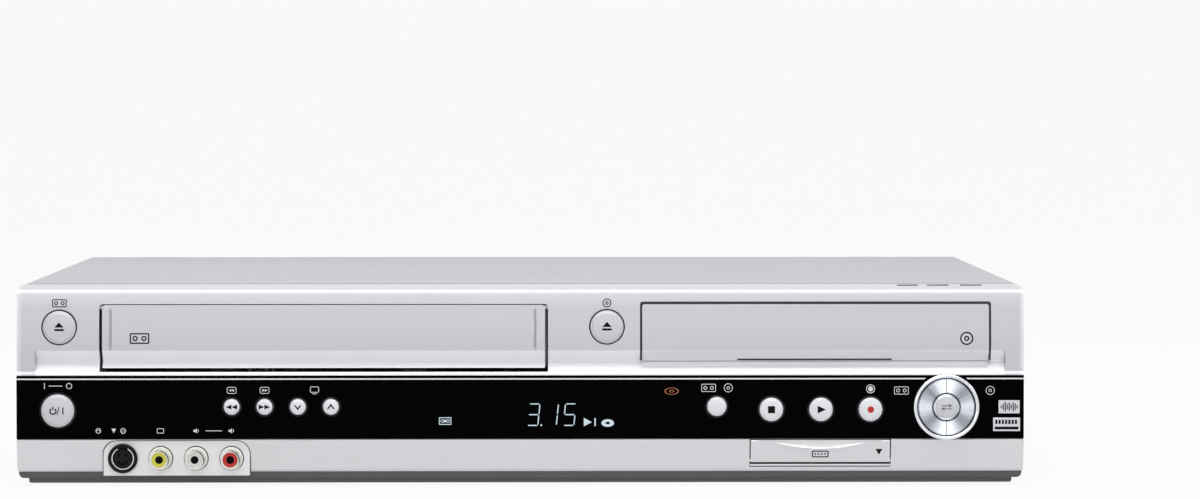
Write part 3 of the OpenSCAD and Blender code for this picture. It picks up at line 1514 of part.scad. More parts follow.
// Steel bridge over the tray, with the clamp's puck resting in its middle
module clamp_bridge() {
    z0 = base_z + bridge_h;
    w = rail_in + rail_t;
    color("silver") {
        difference() {
            block([tray_x - w, tray_x + w], [disc_y - 15, disc_y + 15], [z0, z0 + bridge_t]);
            for (s = [-1, 1])
                block([tray_x + s * 24, tray_x + s * 60],
                    [disc_y - 5, disc_y + 5], [z0 - 1, z0 + 5]);
        }
        post(tray_x, disc_y, puck_low, bridge_h + bridge_t + 1.5, 11);
        post(tray_x, disc_y, bridge_h + bridge_t - eps, bridge_h + bridge_t + 1, 14);
    }
}

top_cover();
cover_screws();
bottom_chassis();
feet();
rear_panel();
front_fascia();
control_window();
window_trim();
plinth();
cassette_flap();
flap_spring();
tray_front();
disc_tray();
for (i = [0:len(BUTTONS) - 1])
    push_button(i);
copy_half(-1);  // copy_left_button
copy_half(1);  // copy_right_button
copy_bezel();
dv_door();
dv_socket();
socket_pad();
svideo_socket();
phono_sleeves();
phono_inserts();
display_module();
key_board();
main_board();
power_board();
mains_inlet();
rear_socket_block();
rear_phono_sleeves();
rear_phono_inserts();
aerial_sockets();
fan_frame();
fan_rotor();
deck_plate();
cassette_cage();
drum_base();
head_drum();
capstan();
pinch_arm();
pinch_roller();
reel(-1);  // supply_reel
reel(1);  // takeup_reel
tape_guides();
loader_frame();
loading_gear();
traverse_plate();
turntable();
optical_pickup();
clamp_bridge();
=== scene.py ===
"""Combined disc and video-cassette player: finishes, prints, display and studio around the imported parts."""

from math import pi, radians

import bpy
import numpy as np
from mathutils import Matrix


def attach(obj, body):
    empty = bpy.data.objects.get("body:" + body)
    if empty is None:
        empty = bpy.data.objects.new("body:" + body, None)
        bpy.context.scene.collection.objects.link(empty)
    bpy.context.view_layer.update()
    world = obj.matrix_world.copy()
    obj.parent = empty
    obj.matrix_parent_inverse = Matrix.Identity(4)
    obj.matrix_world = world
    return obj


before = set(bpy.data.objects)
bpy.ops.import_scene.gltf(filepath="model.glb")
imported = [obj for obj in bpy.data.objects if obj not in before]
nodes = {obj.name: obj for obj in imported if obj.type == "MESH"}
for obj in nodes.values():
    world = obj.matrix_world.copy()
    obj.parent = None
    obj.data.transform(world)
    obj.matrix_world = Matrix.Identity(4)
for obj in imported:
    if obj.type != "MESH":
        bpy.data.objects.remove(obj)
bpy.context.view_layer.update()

# ---------------------------------------------------------------- studio
# A pale sweep of paper under and behind the player, one large soft box overhead, a wide and a
# low fill in front and one at the side. The paper shows white to the lens and keeps a faint shadow; from behind or
# below it is clear, so the back and the underside can be looked at.


def chip(red, green, blue):
    """Linear colour of a paint chip read in 0..255 steps: each step over 255, to the power 2.2."""
    return tuple((value / 255) ** 2.2 for value in (red, green, blue)) + (1.0,)


def add(tree, kind, inputs=None, **settings):
    """Adds one shader node; an input is a plain value or another node's output."""
    node = tree.nodes.new("ShaderNode" + kind)
    for key, value in settings.items():
        setattr(node, key, value)
    for key, value in (inputs or {}).items():
        if isinstance(value, bpy.types.NodeSocket):
            tree.links.new(value, node.inputs[key])
        else:
            node.inputs[key].default_value = value
    return node


def seen_by_lens(tree):
    """1 for rays from the lens, off a mirror or through glass, 0 for the rest: the highest of the three."""
    path = add(tree, "LightPath")
    lens = add(tree, "Math", {0: path.outputs["Is Camera Ray"], 1: path.outputs["Is Glossy Ray"]},
               operation="MAXIMUM")
    return add(tree, "Math", {0: lens.outputs[0], 1: path.outputs["Is Transmission Ray"]},
               operation="MAXIMUM").outputs[0]


room = bpy.data.worlds.new("studio_room")
bpy.context.scene.world = room
room.use_nodes = True
room_tree = room.node_tree
room_tree.nodes.clear()
dim = add(room_tree, "Background", {"Color": (0.99, 0.995, 1.0, 1.0), "Strength": 0.38})
white = add(room_tree, "Background", {"Color": (0.985, 0.985, 0.985, 1.0), "Strength": 1.0})
room_mix = add(room_tree, "MixShader", {0: seen_by_lens(room_tree), 1: dim.outputs[0], 2: white.outputs[0]})
add(room_tree, "OutputWorld", {"Surface": room_mix.outputs[0]})

paper = bpy.data.materials.new("sweep_paper")
paper.use_nodes = True
paper_tree = paper.node_tree
paper_tree.nodes.clear()
paper_matt = add(paper_tree, "BsdfDiffuse", {"Color": (0.86, 0.86, 0.87, 1.0), "Roughness": 1.0})
paper_white = add(paper_tree, "Emission", {"Color": (0.99, 0.99, 0.99, 1.0), "Strength": 1.0})
paper_share = add(paper_tree, "Math", {0: seen_by_lens(paper_tree), 1: 0.93}, operation="MULTIPLY")
paper_mix = add(paper_tree, "MixShader", {0: paper_share.outputs[0], 1: paper_matt.outputs[0],
                                          2: paper_white.outputs[0]})
from_behind = add(paper_tree, "NewGeometry").outputs["Backfacing"]
paper_side = add(paper_tree, "MixShader", {0: from_behind, 1: paper_mix.outputs[0],
                                           2: add(paper_tree, "BsdfTransparent").outputs[0]})
add(paper_tree, "OutputMaterial", {"Surface": paper_side.outputs[0]})


def sheet_grid(width, near, far, rise, count=24):
    """Paper sweep: flat from the near edge, then a quarter turn of the given radius, as a two-row grid.

    Along its length s the height is 0 up to the bend and radius * (1 - cos(angle)) in it."""
    flat = np.linspace(near, far, count)
    turn = np.linspace(0, pi / 2, count)
    along = np.concatenate([flat, far + rise * np.sin(turn)])
    height = np.concatenate([np.zeros(count), rise * (1 - np.cos(turn))])
    side = np.array([-width / 2, width / 2])
    points = np.stack(np.broadcast_arrays(side[:, None], along[None], height[None]), -1).reshape(-1, 3)
    rows = np.arange(2 * count - 1)
    faces = np.stack([rows, rows + 2 * count, rows + 2 * count + 1, rows + 1], -1)
    return points, faces


points, faces = sheet_grid(9.0, -3.6, 3.2, 1.6)
sweep_mesh = bpy.data.meshes.new("sweep")
sweep_mesh.from_pydata(points.tolist(), [], faces.tolist())
sweep_mesh.polygons.foreach_set("use_smooth", np.ones(len(faces), bool))
sweep_mesh.materials.append(paper)
sweep = bpy.data.objects.new("sweep", sweep_mesh)
bpy.context.collection.objects.link(sweep)


def soft_box(name, place, aim, width, height, power, tint=(1.0, 1.0, 1.0)):
    """Rectangular lamp at a place, its -Z axis turned towards the aim."""
    lamp = bpy.data.lights.new(name, "AREA")
    lamp.shape = "RECTANGLE"
    lamp.size, lamp.size_y, lamp.energy, lamp.color = width, height, power, tint
    holder = bpy.data.objects.new(name, lamp)
    holder.location = place
    away = holder.location - type(holder.location)(aim)
    holder.rotation_euler = away.to_track_quat("Z", "Y").to_euler()
    bpy.context.collection.objects.link(holder)
    return holder


soft_box("overhead", (-0.1, -0.5, 1.5), (0.0, -0.12, 0.05), 2.0, 1.2, 18.5)
soft_box("front_fill", (-0.5, -2.2, 1.0), (0.0, -0.1, 0.04), 1.8, 0.9, 3.0)
soft_box("low_fill", (0.2, -2.4, 0.22), (0.0, -0.1, 0.05), 2.2, 0.3, 3.5)
soft_box("side_fill", (1.8, -0.5, 0.9), (0.1, 0.0, 0.04), 0.8, 0.8, 4.0)

lens = bpy.data.cameras.new("studio_lens")
lens.lens = 140.445
lens.sensor_width = 36
lens.clip_end = 60
viewer = bpy.data.objects.new("studio_lens", lens)
viewer.location = (0.008546, -2.154968, 0.175336)
viewer.rotation_euler = (radians(90 - 2.1181), 0.0, radians(-0.7254))
bpy.context.collection.objects.link(viewer)
bpy.context.scene.camera = viewer
bpy.context.scene.view_settings.view_transform = "Standard"

# ---------------------------------------------------------------- folded cover
# Sheet steel with rounded bends, sprayed with a fine satin silver paint over primer.
# It slides over the sides of the base and is held by pan head screws.


def node_group(name, inputs, outputs):
    """Empty shader group; inputs are (name, kind, default), outputs are (name, kind)."""
    group = bpy.data.node_groups.new(name, "ShaderNodeTree")
    for label, kind, default in inputs:
        socket = group.interface.new_socket(name=label, in_out="INPUT", socket_type="NodeSocket" + kind)
        socket.default_value = default
    for label, kind in outputs:
        group.interface.new_socket(name=label, in_out="OUTPUT", socket_type="NodeSocket" + kind)
    return group, group.nodes.new("NodeGroupInput"), group.nodes.new("NodeGroupOutput")


def build_grain():
    """Grain group: a fine noise for height, a broad noise that lightens and darkens the colour.

    Colour = colour * (1 + spread * (broad - 0.5) + fleck * (fine - 0.5)); roughness moves with the fine noise."""
    group, source, sink = node_group(
        "surface_grain",
        [("Color", "Color", (0.5, 0.5, 0.5, 1.0)), ("Roughness", "Float", 0.5), ("Scale", "Float", 900.0),
         ("Spread", "Float", 0.04), ("Fleck", "Float", 0.03)],
        [("Color", "Color"), ("Roughness", "Float"), ("Height", "Float")])
    place = add(group, "TexCoord").outputs["Object"]
    fine = add(group, "TexNoise", {"Vector": place, "Scale": source.outputs["Scale"], "Detail": 3.0,
                                   "Roughness": 0.6})
    broad = add(group, "TexNoise", {"Vector": place, "Scale": 14.0, "Detail": 2.0})
    level = add(group, "MapRange", {"Value": broad.outputs["Fac"], "From Min": 0.3, "From Max": 0.7,
                                    "To Min": -0.5, "To Max": 0.5})
    fleck = add(group, "Math", {0: fine.outputs["Fac"], 1: 0.5}, operation="SUBTRACT")
    wide = add(group, "Math", {0: level.outputs[0], 1: source.outputs["Spread"], 2: 1.0},
               operation="MULTIPLY_ADD")
    both = add(group, "Math", {0: fleck.outputs[0], 1: source.outputs["Fleck"], 2: wide.outputs[0]},
               operation="MULTIPLY_ADD")
    tone = add(group, "VectorMath", {0: source.outputs["Color"], "Scale": both.outputs[0]}, operation="SCALE")
    rough = add(group, "Math", {0: fleck.outputs[0], 1: 0.12, 2: source.outputs["Roughness"]},
                operation="MULTIPLY_ADD")
    group.links.new(tone.outputs[0], sink.inputs["Color"])
    group.links.new(rough.outputs[0], sink.inputs["Roughness"])
    group.links.new(fine.outputs["Fac"], sink.inputs["Height"])
    return group


def build_edge_wear():
    """Edge group: 1 where the rounded normal leaves the flat normal, so along corners, broken up by noise."""
    group, source, sink = node_group(
        "edge_wear",
        [("Color", "Color", (0.5, 0.5, 0.5, 1.0)), ("Worn", "Color", (0.8, 0.8, 0.8, 1.0)),
         ("Radius", "Float", 0.0005), ("Amount", "Float", 0.5)],
        [("Color", "Color"), ("Mask", "Float")])
    rounded = add(group, "Bevel", {"Radius": source.outputs["Radius"]}, samples=4)
    flat = add(group, "NewGeometry")
    same = add(group, "VectorMath", {0: rounded.outputs[0], 1: flat.outputs["Normal"]}, operation="DOT_PRODUCT")
    mask = add(group, "MapRange", {"Value": same.outputs["Value"], "From Min": 0.995, "From Max": 0.8,
                                   "To Min": 0.0, "To Max": 1.0})
    patch = add(group, "TexNoise", {"Vector": add(group, "TexCoord").outputs["Object"], "Scale": 160.0,
                                    "Detail": 3.0})
    worn = add(group, "Math", {0: mask.outputs[0], 1: patch.outputs["Fac"]}, operation="MULTIPLY")
    share = add(group, "Math", {0: worn.outputs[0], 1: source.outputs["Amount"]}, operation="MULTIPLY",
                use_clamp=True)
    colour = add(group, "Mix", {0: share.outputs[0], 6: source.outputs["Color"], 7: source.outputs["Worn"]},
                 data_type="RGBA")
    group.links.new(colour.outputs[2], sink.inputs["Color"])
    group.links.new(share.outputs[0], sink.inputs["Mask"])
    return group


grain_group = build_grain()
wear_group = build_edge_wear()


def finish(name, colour, roughness, scale, spread=0.04, fleck=0.03, bump=0.02, depth=0.0001, worn=None,
           radius=0.0005, **plain):
    """Principled finish: grain drives colour, roughness and bump, and a worn colour can follow the edges."""
    made = bpy.data.materials.new(name)
    made.use_nodes = True
    tree = made.node_tree
    shader = tree.nodes["Principled BSDF"]
    grain = add(tree, "Group", node_tree=grain_group)
    for key, value in {"Color": colour, "Roughness": roughness, "Scale": scale, "Spread": spread,
                       "Fleck": fleck}.items():
        if isinstance(value, bpy.types.NodeSocket):
            tree.links.new(value, grain.inputs[key])
        else:
            grain.inputs[key].default_value = value
    shown = grain.outputs["Color"]
    if worn:
        wear = add(tree, "Group", node_tree=wear_group)
        tree.links.new(shown, wear.inputs["Color"])
        wear.inputs["Worn"].default_value = worn
        wear.inputs["Radius"].default_value = radius
        shown = wear.outputs["Color"]
    tree.links.new(shown, shader.inputs["Base Color"])
    tree.links.new(grain.outputs["Roughness"], shader.inputs["Roughness"])
    relief = add(tree, "Bump", {"Height": grain.outputs["Height"], "Strength": bump, "Distance": depth})
    tree.links.new(relief.outputs[0], shader.inputs["Normal"])
    for key, value in plain.items():
        shader.inputs[key.replace("_", " ")].default_value = value
    return made


def dress(made, *names):
    """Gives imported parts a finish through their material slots."""
    for name in names:
        for slot in nodes[name].material_slots:
            slot.material = made


cover_paint = finish("cover_paint", chip(193, 194, 198), 0.58, 1500.0, spread=0.02, fleck=0.05, bump=0.06,
                     worn=chip(214, 215, 219), radius=0.0006, Specular_IOR_Level=0.35)
dress(cover_paint, "top_cover", "rear_panel")

screw_zinc = finish("screw_zinc", chip(178, 180, 184), 0.32, 2400.0, fleck=0.12, bump=0.08,
                    worn=chip(225, 226, 230), radius=0.0002, Metallic=0.9)
dress(screw_zinc, "cover_screws")

# ---------------------------------------------------------------- front moulding
# One long silver-painted moulding carries the lip, the brow, the groove and the lower panel.
# The cassette flap, the tray's front and the little door are painted in the same batch.


# Painted shade and painted highlight: below, the front's silver gets a darker tone over its upper face and a brighter
# one over the ledge and the bevel.
silver_with_painted_shade_and_highlight = finish("silver_with_painted_shade_and_highlight", chip(226, 227, 229), 0.36, 1700.0, spread=0.015, fleck=0.04, bump=0.04,
                      worn=chip(238, 238, 240), radius=0.0004, Metallic=0.3)


def painted_shade_and_highlight_zone(made, tone, bright, foot, full, top, end_low, end_x, ledge):
    """Painted shade and painted highlight on the front: a darker tone on the upper face, a brighter one on the ledge
    and the bevel.

    The darker tone starts at the foot line and fades between two heights; beyond end_x on either side
    it starts lower, at end_low. The brighter tone rises over 3 mm from the ledge height to the foot
    line. Both fade out over the last 2 mm before the sides, which keep the plain tone. All heights
    are above the floor, in metres."""
    tree = made.node_tree
    grain = next(node for node in tree.nodes if node.type == "GROUP" and node.node_tree == grain_group)
    place = add(tree, "SeparateXYZ", {0: add(tree, "TexCoord").outputs["Object"]})
    off = add(tree, "Math", {0: place.outputs["X"]}, operation="ABSOLUTE")
    at_end = add(tree, "Math", {0: off.outputs[0], 1: end_x}, operation="GREATER_THAN")
    start = add(tree, "MapRange", {"Value": at_end.outputs[0], "To Min": foot, "To Max": end_low})
    above = add(tree, "Math", {0: place.outputs["Z"], 1: start.outputs[0]}, operation="GREATER_THAN")
    fade = add(tree, "MapRange", {"Value": place.outputs["Z"], "From Min": full, "From Max": top,
                                  "To Min": 1.0, "To Max": 0.6})
    front = add(tree, "MapRange", {"Value": off.outputs[0], "From Min": 0.2128, "From Max": 0.2148,
                                   "To Min": 1.0, "To Max": 0.0})
    facing = add(tree, "Math", {0: fade.outputs[0], 1: front.outputs[0]}, operation="MULTIPLY")
    share = add(tree, "Math", {0: above.outputs[0], 1: facing.outputs[0]}, operation="MULTIPLY")
    painted_shade_mix = add(tree, "Mix", {0: share.outputs[0], 6: tuple(grain.inputs["Color"].default_value), 7: tone},
                data_type="RGBA")
    rise = add(tree, "MapRange", {"Value": place.outputs["Z"], "From Min": ledge, "From Max": ledge + 0.003})
    below = add(tree, "Math", {0: place.outputs["Z"], 1: start.outputs[0]}, operation="LESS_THAN")
    strip = add(tree, "Math", {0: rise.outputs[0], 1: below.outputs[0]}, operation="MULTIPLY")
    lit = add(tree, "Math", {0: strip.outputs[0], 1: front.outputs[0]}, operation="MULTIPLY")
    painted_highlight_mix = add(tree, "Mix", {0: lit.outputs[0], 6: painted_shade_mix.outputs[2], 7: bright}, data_type="RGBA")
    tree.links.new(painted_highlight_mix.outputs[2], grain.inputs["Color"])


# The darker tone is painted shade, the brighter one a painted highlight.
painted_shade_and_highlight_zone(silver_with_painted_shade_and_highlight, chip(197, 198, 202), chip(242, 243, 245), foot=0.0584, full=0.0765, top=0.0815,
           end_low=0.0478, end_x=0.2068, ledge=0.0493)
dress(silver_with_painted_shade_and_highlight, "front_fascia", "cassette_flap", "tray_front", "dv_door")
# Painted light: the pad's paint is a lighter copy of the silver that offsets the shade of its recess.
pad_paint_painted_light = finish("pad_paint_painted_light", chip(240, 240, 242), 0.4, 1700.0, spread=0.015, fleck=0.04, bump=0.04, Metallic=0.2)
dress(pad_paint_painted_light, "socket_pad")

spring_wire = finish("spring_wire", chip(170, 168, 160), 0.3, 3000.0, fleck=0.1, Metallic=1.0)
dress(spring_wire, "flap_spring")

plinth_grey = finish("plinth_grey", chip(82, 82, 85), 0.5, 1300.0, spread=0.04, fleck=0.08, bump=0.15,
                     worn=chip(108, 108, 111))
dress(plinth_grey, "plinth")

foot_rubber = finish("foot_rubber", chip(46, 46, 48), 0.75, 1100.0, fleck=0.2, bump=0.3, worn=chip(80, 80, 82))
dress(foot_rubber, "feet")

# ---------------------------------------------------------------- control window
# Clear acrylic, smoked from behind, across the whole front. Its bright line is let in,
# and its marks are screen printed in white.

smoked_gloss = finish("smoked_gloss", chip(3, 3, 4), 0.06, 220.0, spread=0.1, fleck=0.05, bump=0.004,
                      Specular_IOR_Level=0.02)
dress(smoked_gloss, "control_window")

bright_line = finish("bright_line", chip(238, 240, 243), 0.25, 1800.0, fleck=0.02, bump=0.01)
dress(bright_line, "window_trim")


def round_mark(radius, count=40, centre=(0.0, 0.0)):
    """Disc outline: centre + radius * (cos a, sin a)."""
    turn = np.linspace(0, 2 * pi, count, endpoint=False)
    return np.stack([centre[0] + radius * np.cos(turn), centre[1] + radius * np.sin(turn)], -1)


def ring_mark(radius, line, start=0.0, end=359.5, count=48, centre=(0.0, 0.0), flat=1.0):
    """Arc of a given line width: the outer arc forwards, then the inner arc back; flat squeezes its height."""
    turn = np.radians(np.linspace(start, end, count))
    outer = np.stack([np.cos(turn), flat * np.sin(turn)], -1)
    return np.concatenate([outer * radius, outer[::-1] * (radius - line)]) + centre


def bar_mark(x0, x1, z0, z1, lean=0.0):
    """Bar outline whose top is shifted by lean times its height."""
    return np.array([[x0 + lean * z0, z0], [x1 + lean * z0, z0], [x1 + lean * z1, z1], [x0 + lean * z1, z1]])


def rod_mark(x0, x1, z0, z1, count=10):
    """Upright bar outline with extra points along its height, so that it can follow a curved face."""
    rise = np.linspace(z0, z1, count)
    return np.concatenate([np.stack([0 * rise + x1, rise], -1), np.stack([0 * rise + x0, rise], -1)[::-1]])


def frame_mark(width, height, corner, line, gap=0.01):
    """Outline of a rounded frame as one strip: outer corners forwards, inner corners back, open by a hair."""
    def corners(w, h, r):
        turn = np.radians(np.linspace(0, 90, 6))
        parts = []
        for x, z, lift in ((w - r, h - r, 0), (-w + r, h - r, 90), (-w + r, -h + r, 180), (w - r, -h + r, 270)):
            angle = turn + radians(lift)
            parts.append(np.stack([x + r * np.cos(angle), z + r * np.sin(angle)], -1))
        return np.concatenate([[[w, gap]]] + parts + [[[w, -gap]]])
    outer = corners(width / 2, height / 2, corner)
    inner = corners(width / 2 - line, height / 2 - line, max(corner - line, 0.02))
    return np.concatenate([outer, inner[::-1]])


def arrow_mark(x, z, wide, high):
    """Solid arrow head pointing along +X for a positive width and along -X for a negative one."""
    head = np.array([[x - wide / 2, z - high / 2], [x + wide / 2, z], [x - wide / 2, z + high / 2]])
    return head if wide > 0 else head[::-1]


def chevron_mark(wide, high, line, up):
    """Open chevron of a given line width, pointing up or down."""
    s = 1 if up else -1
    half, tip = wide / 2, high / 2
    shape = np.array([[-half, -tip * s], [0, (tip - line) * s], [half, -tip * s],
                      [half + line * 0.6, (-tip + line * 0.5) * s], [0, (tip + line * 0.6) * s],
                      [-half - line * 0.6, (-tip + line * 0.5) * s]])
    return shape[::-1] if up else shape


def stamp(name, shapes, origin, made, body, across=(1, 0, 0), up=(0, 0, 1), deep=0.00005, proud=0.00002,
          crowned=False):
    """Thin closed prints: each outline in mm is laid on a plane and carried back by its depth.

    A point (u, v) goes to origin + u * across + v * up + proud * normal; the back face lies deep behind it.
    On the crowned upper face it also goes back by 1.2 + 2 * ((v - 54.4) / 23.6)^2 mm."""
    across, up, origin = (np.array(v, float) for v in (across, up, origin))
    normal = np.cross(across, up)
    points, faces, start = [], [], 0
    for shape in shapes:
        shape = np.asarray(shape) / 1000
        count = len(shape)
        front = origin + shape[:, :1] * across + shape[:, 1:] * up + proud * normal
        if crowned:
            front[:, 1] += 0.0012 + 0.002 * ((shape[:, 1] - 0.0544) / 0.0236) ** 2
        points += [front, front - deep * normal]
        ring = np.arange(count)
        after = (ring + 1) % count
        faces.append((start + ring).tolist())
        faces.append((start + count + ring[::-1]).tolist())
        faces += (start + np.stack([after, ring, ring + count, after + count], -1)).tolist()
        start += 2 * count
    mesh = bpy.data.meshes.new(name)
    mesh.from_pydata(np.concatenate(points).tolist(), [], faces)
    mesh.materials.append(made)
    mesh.validate()
    piece = bpy.data.objects.new(name, mesh)
    bpy.context.collection.objects.link(piece)
    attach(piece, body)
    return piece


def moved(shapes, x, z=0.0):
    """The same outlines, shifted."""
    return [np.asarray(shape) + (x, z) for shape in shapes]


front_y = -0.160
base_z = 0.004
print_white = finish("print_white", chip(226, 228, 232), 0.45, 2600.0, spread=0.01, fleck=0.04, bump=0.01)
print_dark = finish("print_dark", chip(10, 10, 12), 0.6, 2600.0, spread=0.01, fleck=0.04, bump=0.01,
                    Specular_IOR_Level=0.12)
print_red = finish("print_red", chip(196, 34, 38), 0.45, 2600.0, spread=0.01, fleck=0.04, bump=0.01)
print_grey = finish("print_grey", chip(120, 123, 129), 0.5, 2600.0, spread=0.01, fleck=0.04, bump=0.01)

cassette_sign = [frame_mark(6.2, 3.4, 0.4, 0.26), ring_mark(0.8, 0.28, centre=(-1.4, 0)),
                 ring_mark(0.8, 0.28, centre=(1.4, 0))]
disc_sign = [ring_mark(1.9, 0.26), ring_mark(0.7, 0.26)]
bold_cassette = [frame_mark(6.2, 3.4, 0.4, 0.42), ring_mark(0.85, 0.42, centre=(-1.4, 0)),
                 ring_mark(0.85, 0.42, centre=(1.4, 0))]
bold_disc = [ring_mark(1.9, 0.42), ring_mark(0.75, 0.4)]
screen_sign = [frame_mark(3.8, 2.6, 0.5, 0.26), bar_mark(-1.0, 1.0, -1.95, -1.7)]
mains_sign = [bar_mark(-5.6, -5.3, -1.3, 1.3), ring_mark(1.3, 0.3, centre=(5.0, 0)),
              bar_mark(-3.6, 2.2, -0.15, 0.15)]
speaker_sign = [bar_mark(-1.2, -0.5, -0.45, 0.45), np.array([[-0.5, -0.45], [0.3, -1.1], [0.3, 1.1], [-0.5, 0.45]]),
                ring_mark(1.1, 0.28, -40, 40, 14)]
plug_sign = [ring_mark(1.15, 0.3), round_mark(0.28, 16, (-0.45, 0.2)), round_mark(0.28, 16, (0.45, 0.2))]


def on_window(x, h):
    """Place on the window's front face, from the middle and the steel base, in mm."""
    return (x / 1000, front_y, base_z + h / 1000)


window_signs = (
    moved(mains_sign, -197.6, 39.4)
    + moved([frame_mark(4.1, 2.9, 0.8, 0.26), arrow_mark(-0.75, 0, -1.1, 1.2), arrow_mark(0.45, 0, -1.1, 1.2)],
            -123.3, 37.5)
    + moved([frame_mark(4.1, 2.9, 0.8, 0.26), arrow_mark(-0.45, 0, 1.1, 1.2), arrow_mark(0.75, 0, 1.1, 1.2)],
            -109.3, 37.5)
    + moved(screen_sign, -88.0, 37.8)
    + moved(plug_sign, -180.2, 20.2)
    + [arrow_mark(0, 0, 1.9, 2.0)[:, ::-1][::-1] * (1, -1) + (-173.6, 20.2)]
    + moved([ring_mark(1.2, 0.3), round_mark(0.2, 12, (-0.4, 0.3)), round_mark(0.2, 12, (0.4, 0.3)),
             round_mark(0.2, 12, (-0.4, -0.4)), round_mark(0.2, 12, (0.4, -0.4))], -169.6, 20.2)
    + moved([frame_mark(3.0, 2.2, 0.35, 0.28)], -153.7, 20.2)
    + moved(speaker_sign, -138.5, 20.2) + moved(speaker_sign, -123.5, 20.2)
    + [bar_mark(-134.5, -127.5, 20.05, 20.35)]
    + moved(cassette_sign, 80.2, 38.4) + moved(disc_sign, 88.6, 38.4)
    + moved([round_mark(1.1)], 149.4, 37.9) + moved([ring_mark(1.9, 0.3)], 149.4, 37.9)
    + moved(cassette_sign, 162.6, 37.2) + moved(disc_sign, 200.6, 37.2)
    + [bar_mark(204.2, 213.2, 27.4, 33.0), bar_mark(201.9, 213.4, 19.8, 25.6)])
stamp("window_signs", window_signs, on_window(0, 0), print_white, "case")
wave_bars = [bar_mark(205.1 + 0.85 * i, 205.58 + 0.85 * i, 30.2 - high, 30.2 + high)
             for i, high in enumerate((0.5, 1.3, 2.1, 1.1, 1.8, 0.9, 2.0, 1.4, 0.7))]
grid_bars = [bar_mark(202.8 + 1.4 * i, 203.7 + 1.4 * i, 22.8, 24.6) for i in range(7)] + [
    bar_mark(202.6, 212.7, 20.5, 21.7)]
stamp("window_sign_bars", wave_bars + grid_bars, on_window(0, 0), print_dark, "case", proud=0.00006)

# ---------------------------------------------------------------- display
# Vacuum tube behind the window: pale blue-white segments with a slight slant,
# a cassette sign, a disc sign and an amber sign for the disc side.


def glow(name, colour, strength):
    """Lit phosphor: plain emission over a dark body with a fine dot structure."""
    made = finish(name, (0.01, 0.01, 0.012, 1.0), 0.5, 3000.0)
    shader = made.node_tree.nodes["Principled BSDF"]
    shader.inputs["Emission Color"].default_value = colour
    shader.inputs["Emission Strength"].default_value = strength
    return made


def digit(figure, wide=4.5, high=9.2, line=0.46, lean=0.1):
    """Seven-segment figure: bars with pointed ends, each a six-sided outline, sheared by its height."""
    gap, thin = 0.22, line / 2
    half, mid = wide / 2, high / 2
    near, far = -half + gap, half - gap

    def lie(z):
        return np.array([[near, z], [near + thin, z - thin], [far - thin, z - thin],
                         [far, z], [far - thin, z + thin], [near + thin, z + thin]])

    def stand(x, z0, z1):
        low, top = z0 + gap, z1 - gap
        return np.array([[x, low], [x + thin, low + thin], [x + thin, top - thin],
                         [x, top], [x - thin, top - thin], [x - thin, low + thin]])

    bars = {"a": lie(high), "g": lie(mid), "d": lie(0), "f": stand(-half, mid, high), "b": stand(half, mid, high),
            "e": stand(-half, 0, mid), "c": stand(half, 0, mid)}
    lit = {"1": "bc", "2": "abdeg", "3": "abcdg", "5": "acdfg"}[figure]
    return [bars[key] + np.stack([lean * bars[key][:, 1], 0 * bars[key][:, 1]], -1) for key in lit]


display_blue = glow("display_blue", (0.55, 0.68, 0.74, 1.0), 1.0)
display_amber = glow("display_amber", chip(172, 98, 58), 1.0)
reading = (moved(digit("3"), 5.0, 22.4) + [round_mark(0.4, 16, (8.7, 22.5))] + moved(digit("1"), 12.9, 22.4)
           + moved(digit("5"), 20.4, 22.4))
reading += [arrow_mark(28.6, 23.8, 3.4, 3.6), bar_mark(31.4, 32.0, 22.1, 25.5)]
reading += moved([ring_mark(2.7, 1.75, flat=0.6)], 37.1, 23.4)
reading += moved([frame_mark(5.3, 3.2, 0.3, 0.34), ring_mark(0.75, 0.3, centre=(-1.2, 0)),
                  ring_mark(0.75, 0.3, centre=(1.2, 0)), bar_mark(-0.5, 0.5, -0.5, 0.5)], -32.3, 24.3)
stamp("display_reading", reading, on_window(0, 0), display_blue, "case")
stamp("display_disc_sign", moved([ring_mark(3.0, 0.42, flat=0.5), ring_mark(1.1, 0.34, flat=0.5)], 64.4, 37.0),
      on_window(0, 0), display_amber, "case")

display_glass = finish("display_glass", chip(24, 32, 34), 0.08, 400.0, fleck=0.1, bump=0.01)
dress(display_glass, "display_module")

# ---------------------------------------------------------------- buttons
# Moulded caps with a satin silver coat, each on a stem behind the window or the upper face.
# Their signs are pad printed on the caps.

cap_silver = finish("cap_silver", chip(206, 207, 211), 0.36, 1900.0, spread=0.02, fleck=0.05, bump=0.03,
                    worn=chip(236, 237, 239), radius=0.0006, Metallic=0.2)
dress(cap_silver, "eject_button", "open_button", "power_button")
cap_pale = finish("cap_pale", chip(233, 234, 238), 0.38, 1900.0, spread=0.02, fleck=0.04, bump=0.03,
                  worn=chip(248, 249, 250), radius=0.0006, Metallic=0.1)
dress(cap_pale, "rewind_button", "forward_button", "channel_down_button", "channel_up_button", "select_button",
      "stop_button", "play_button", "record_button")

window_cap_y = front_y - 0.0014
face_cap_y = front_y + 0.0009
BULGE = 0.06


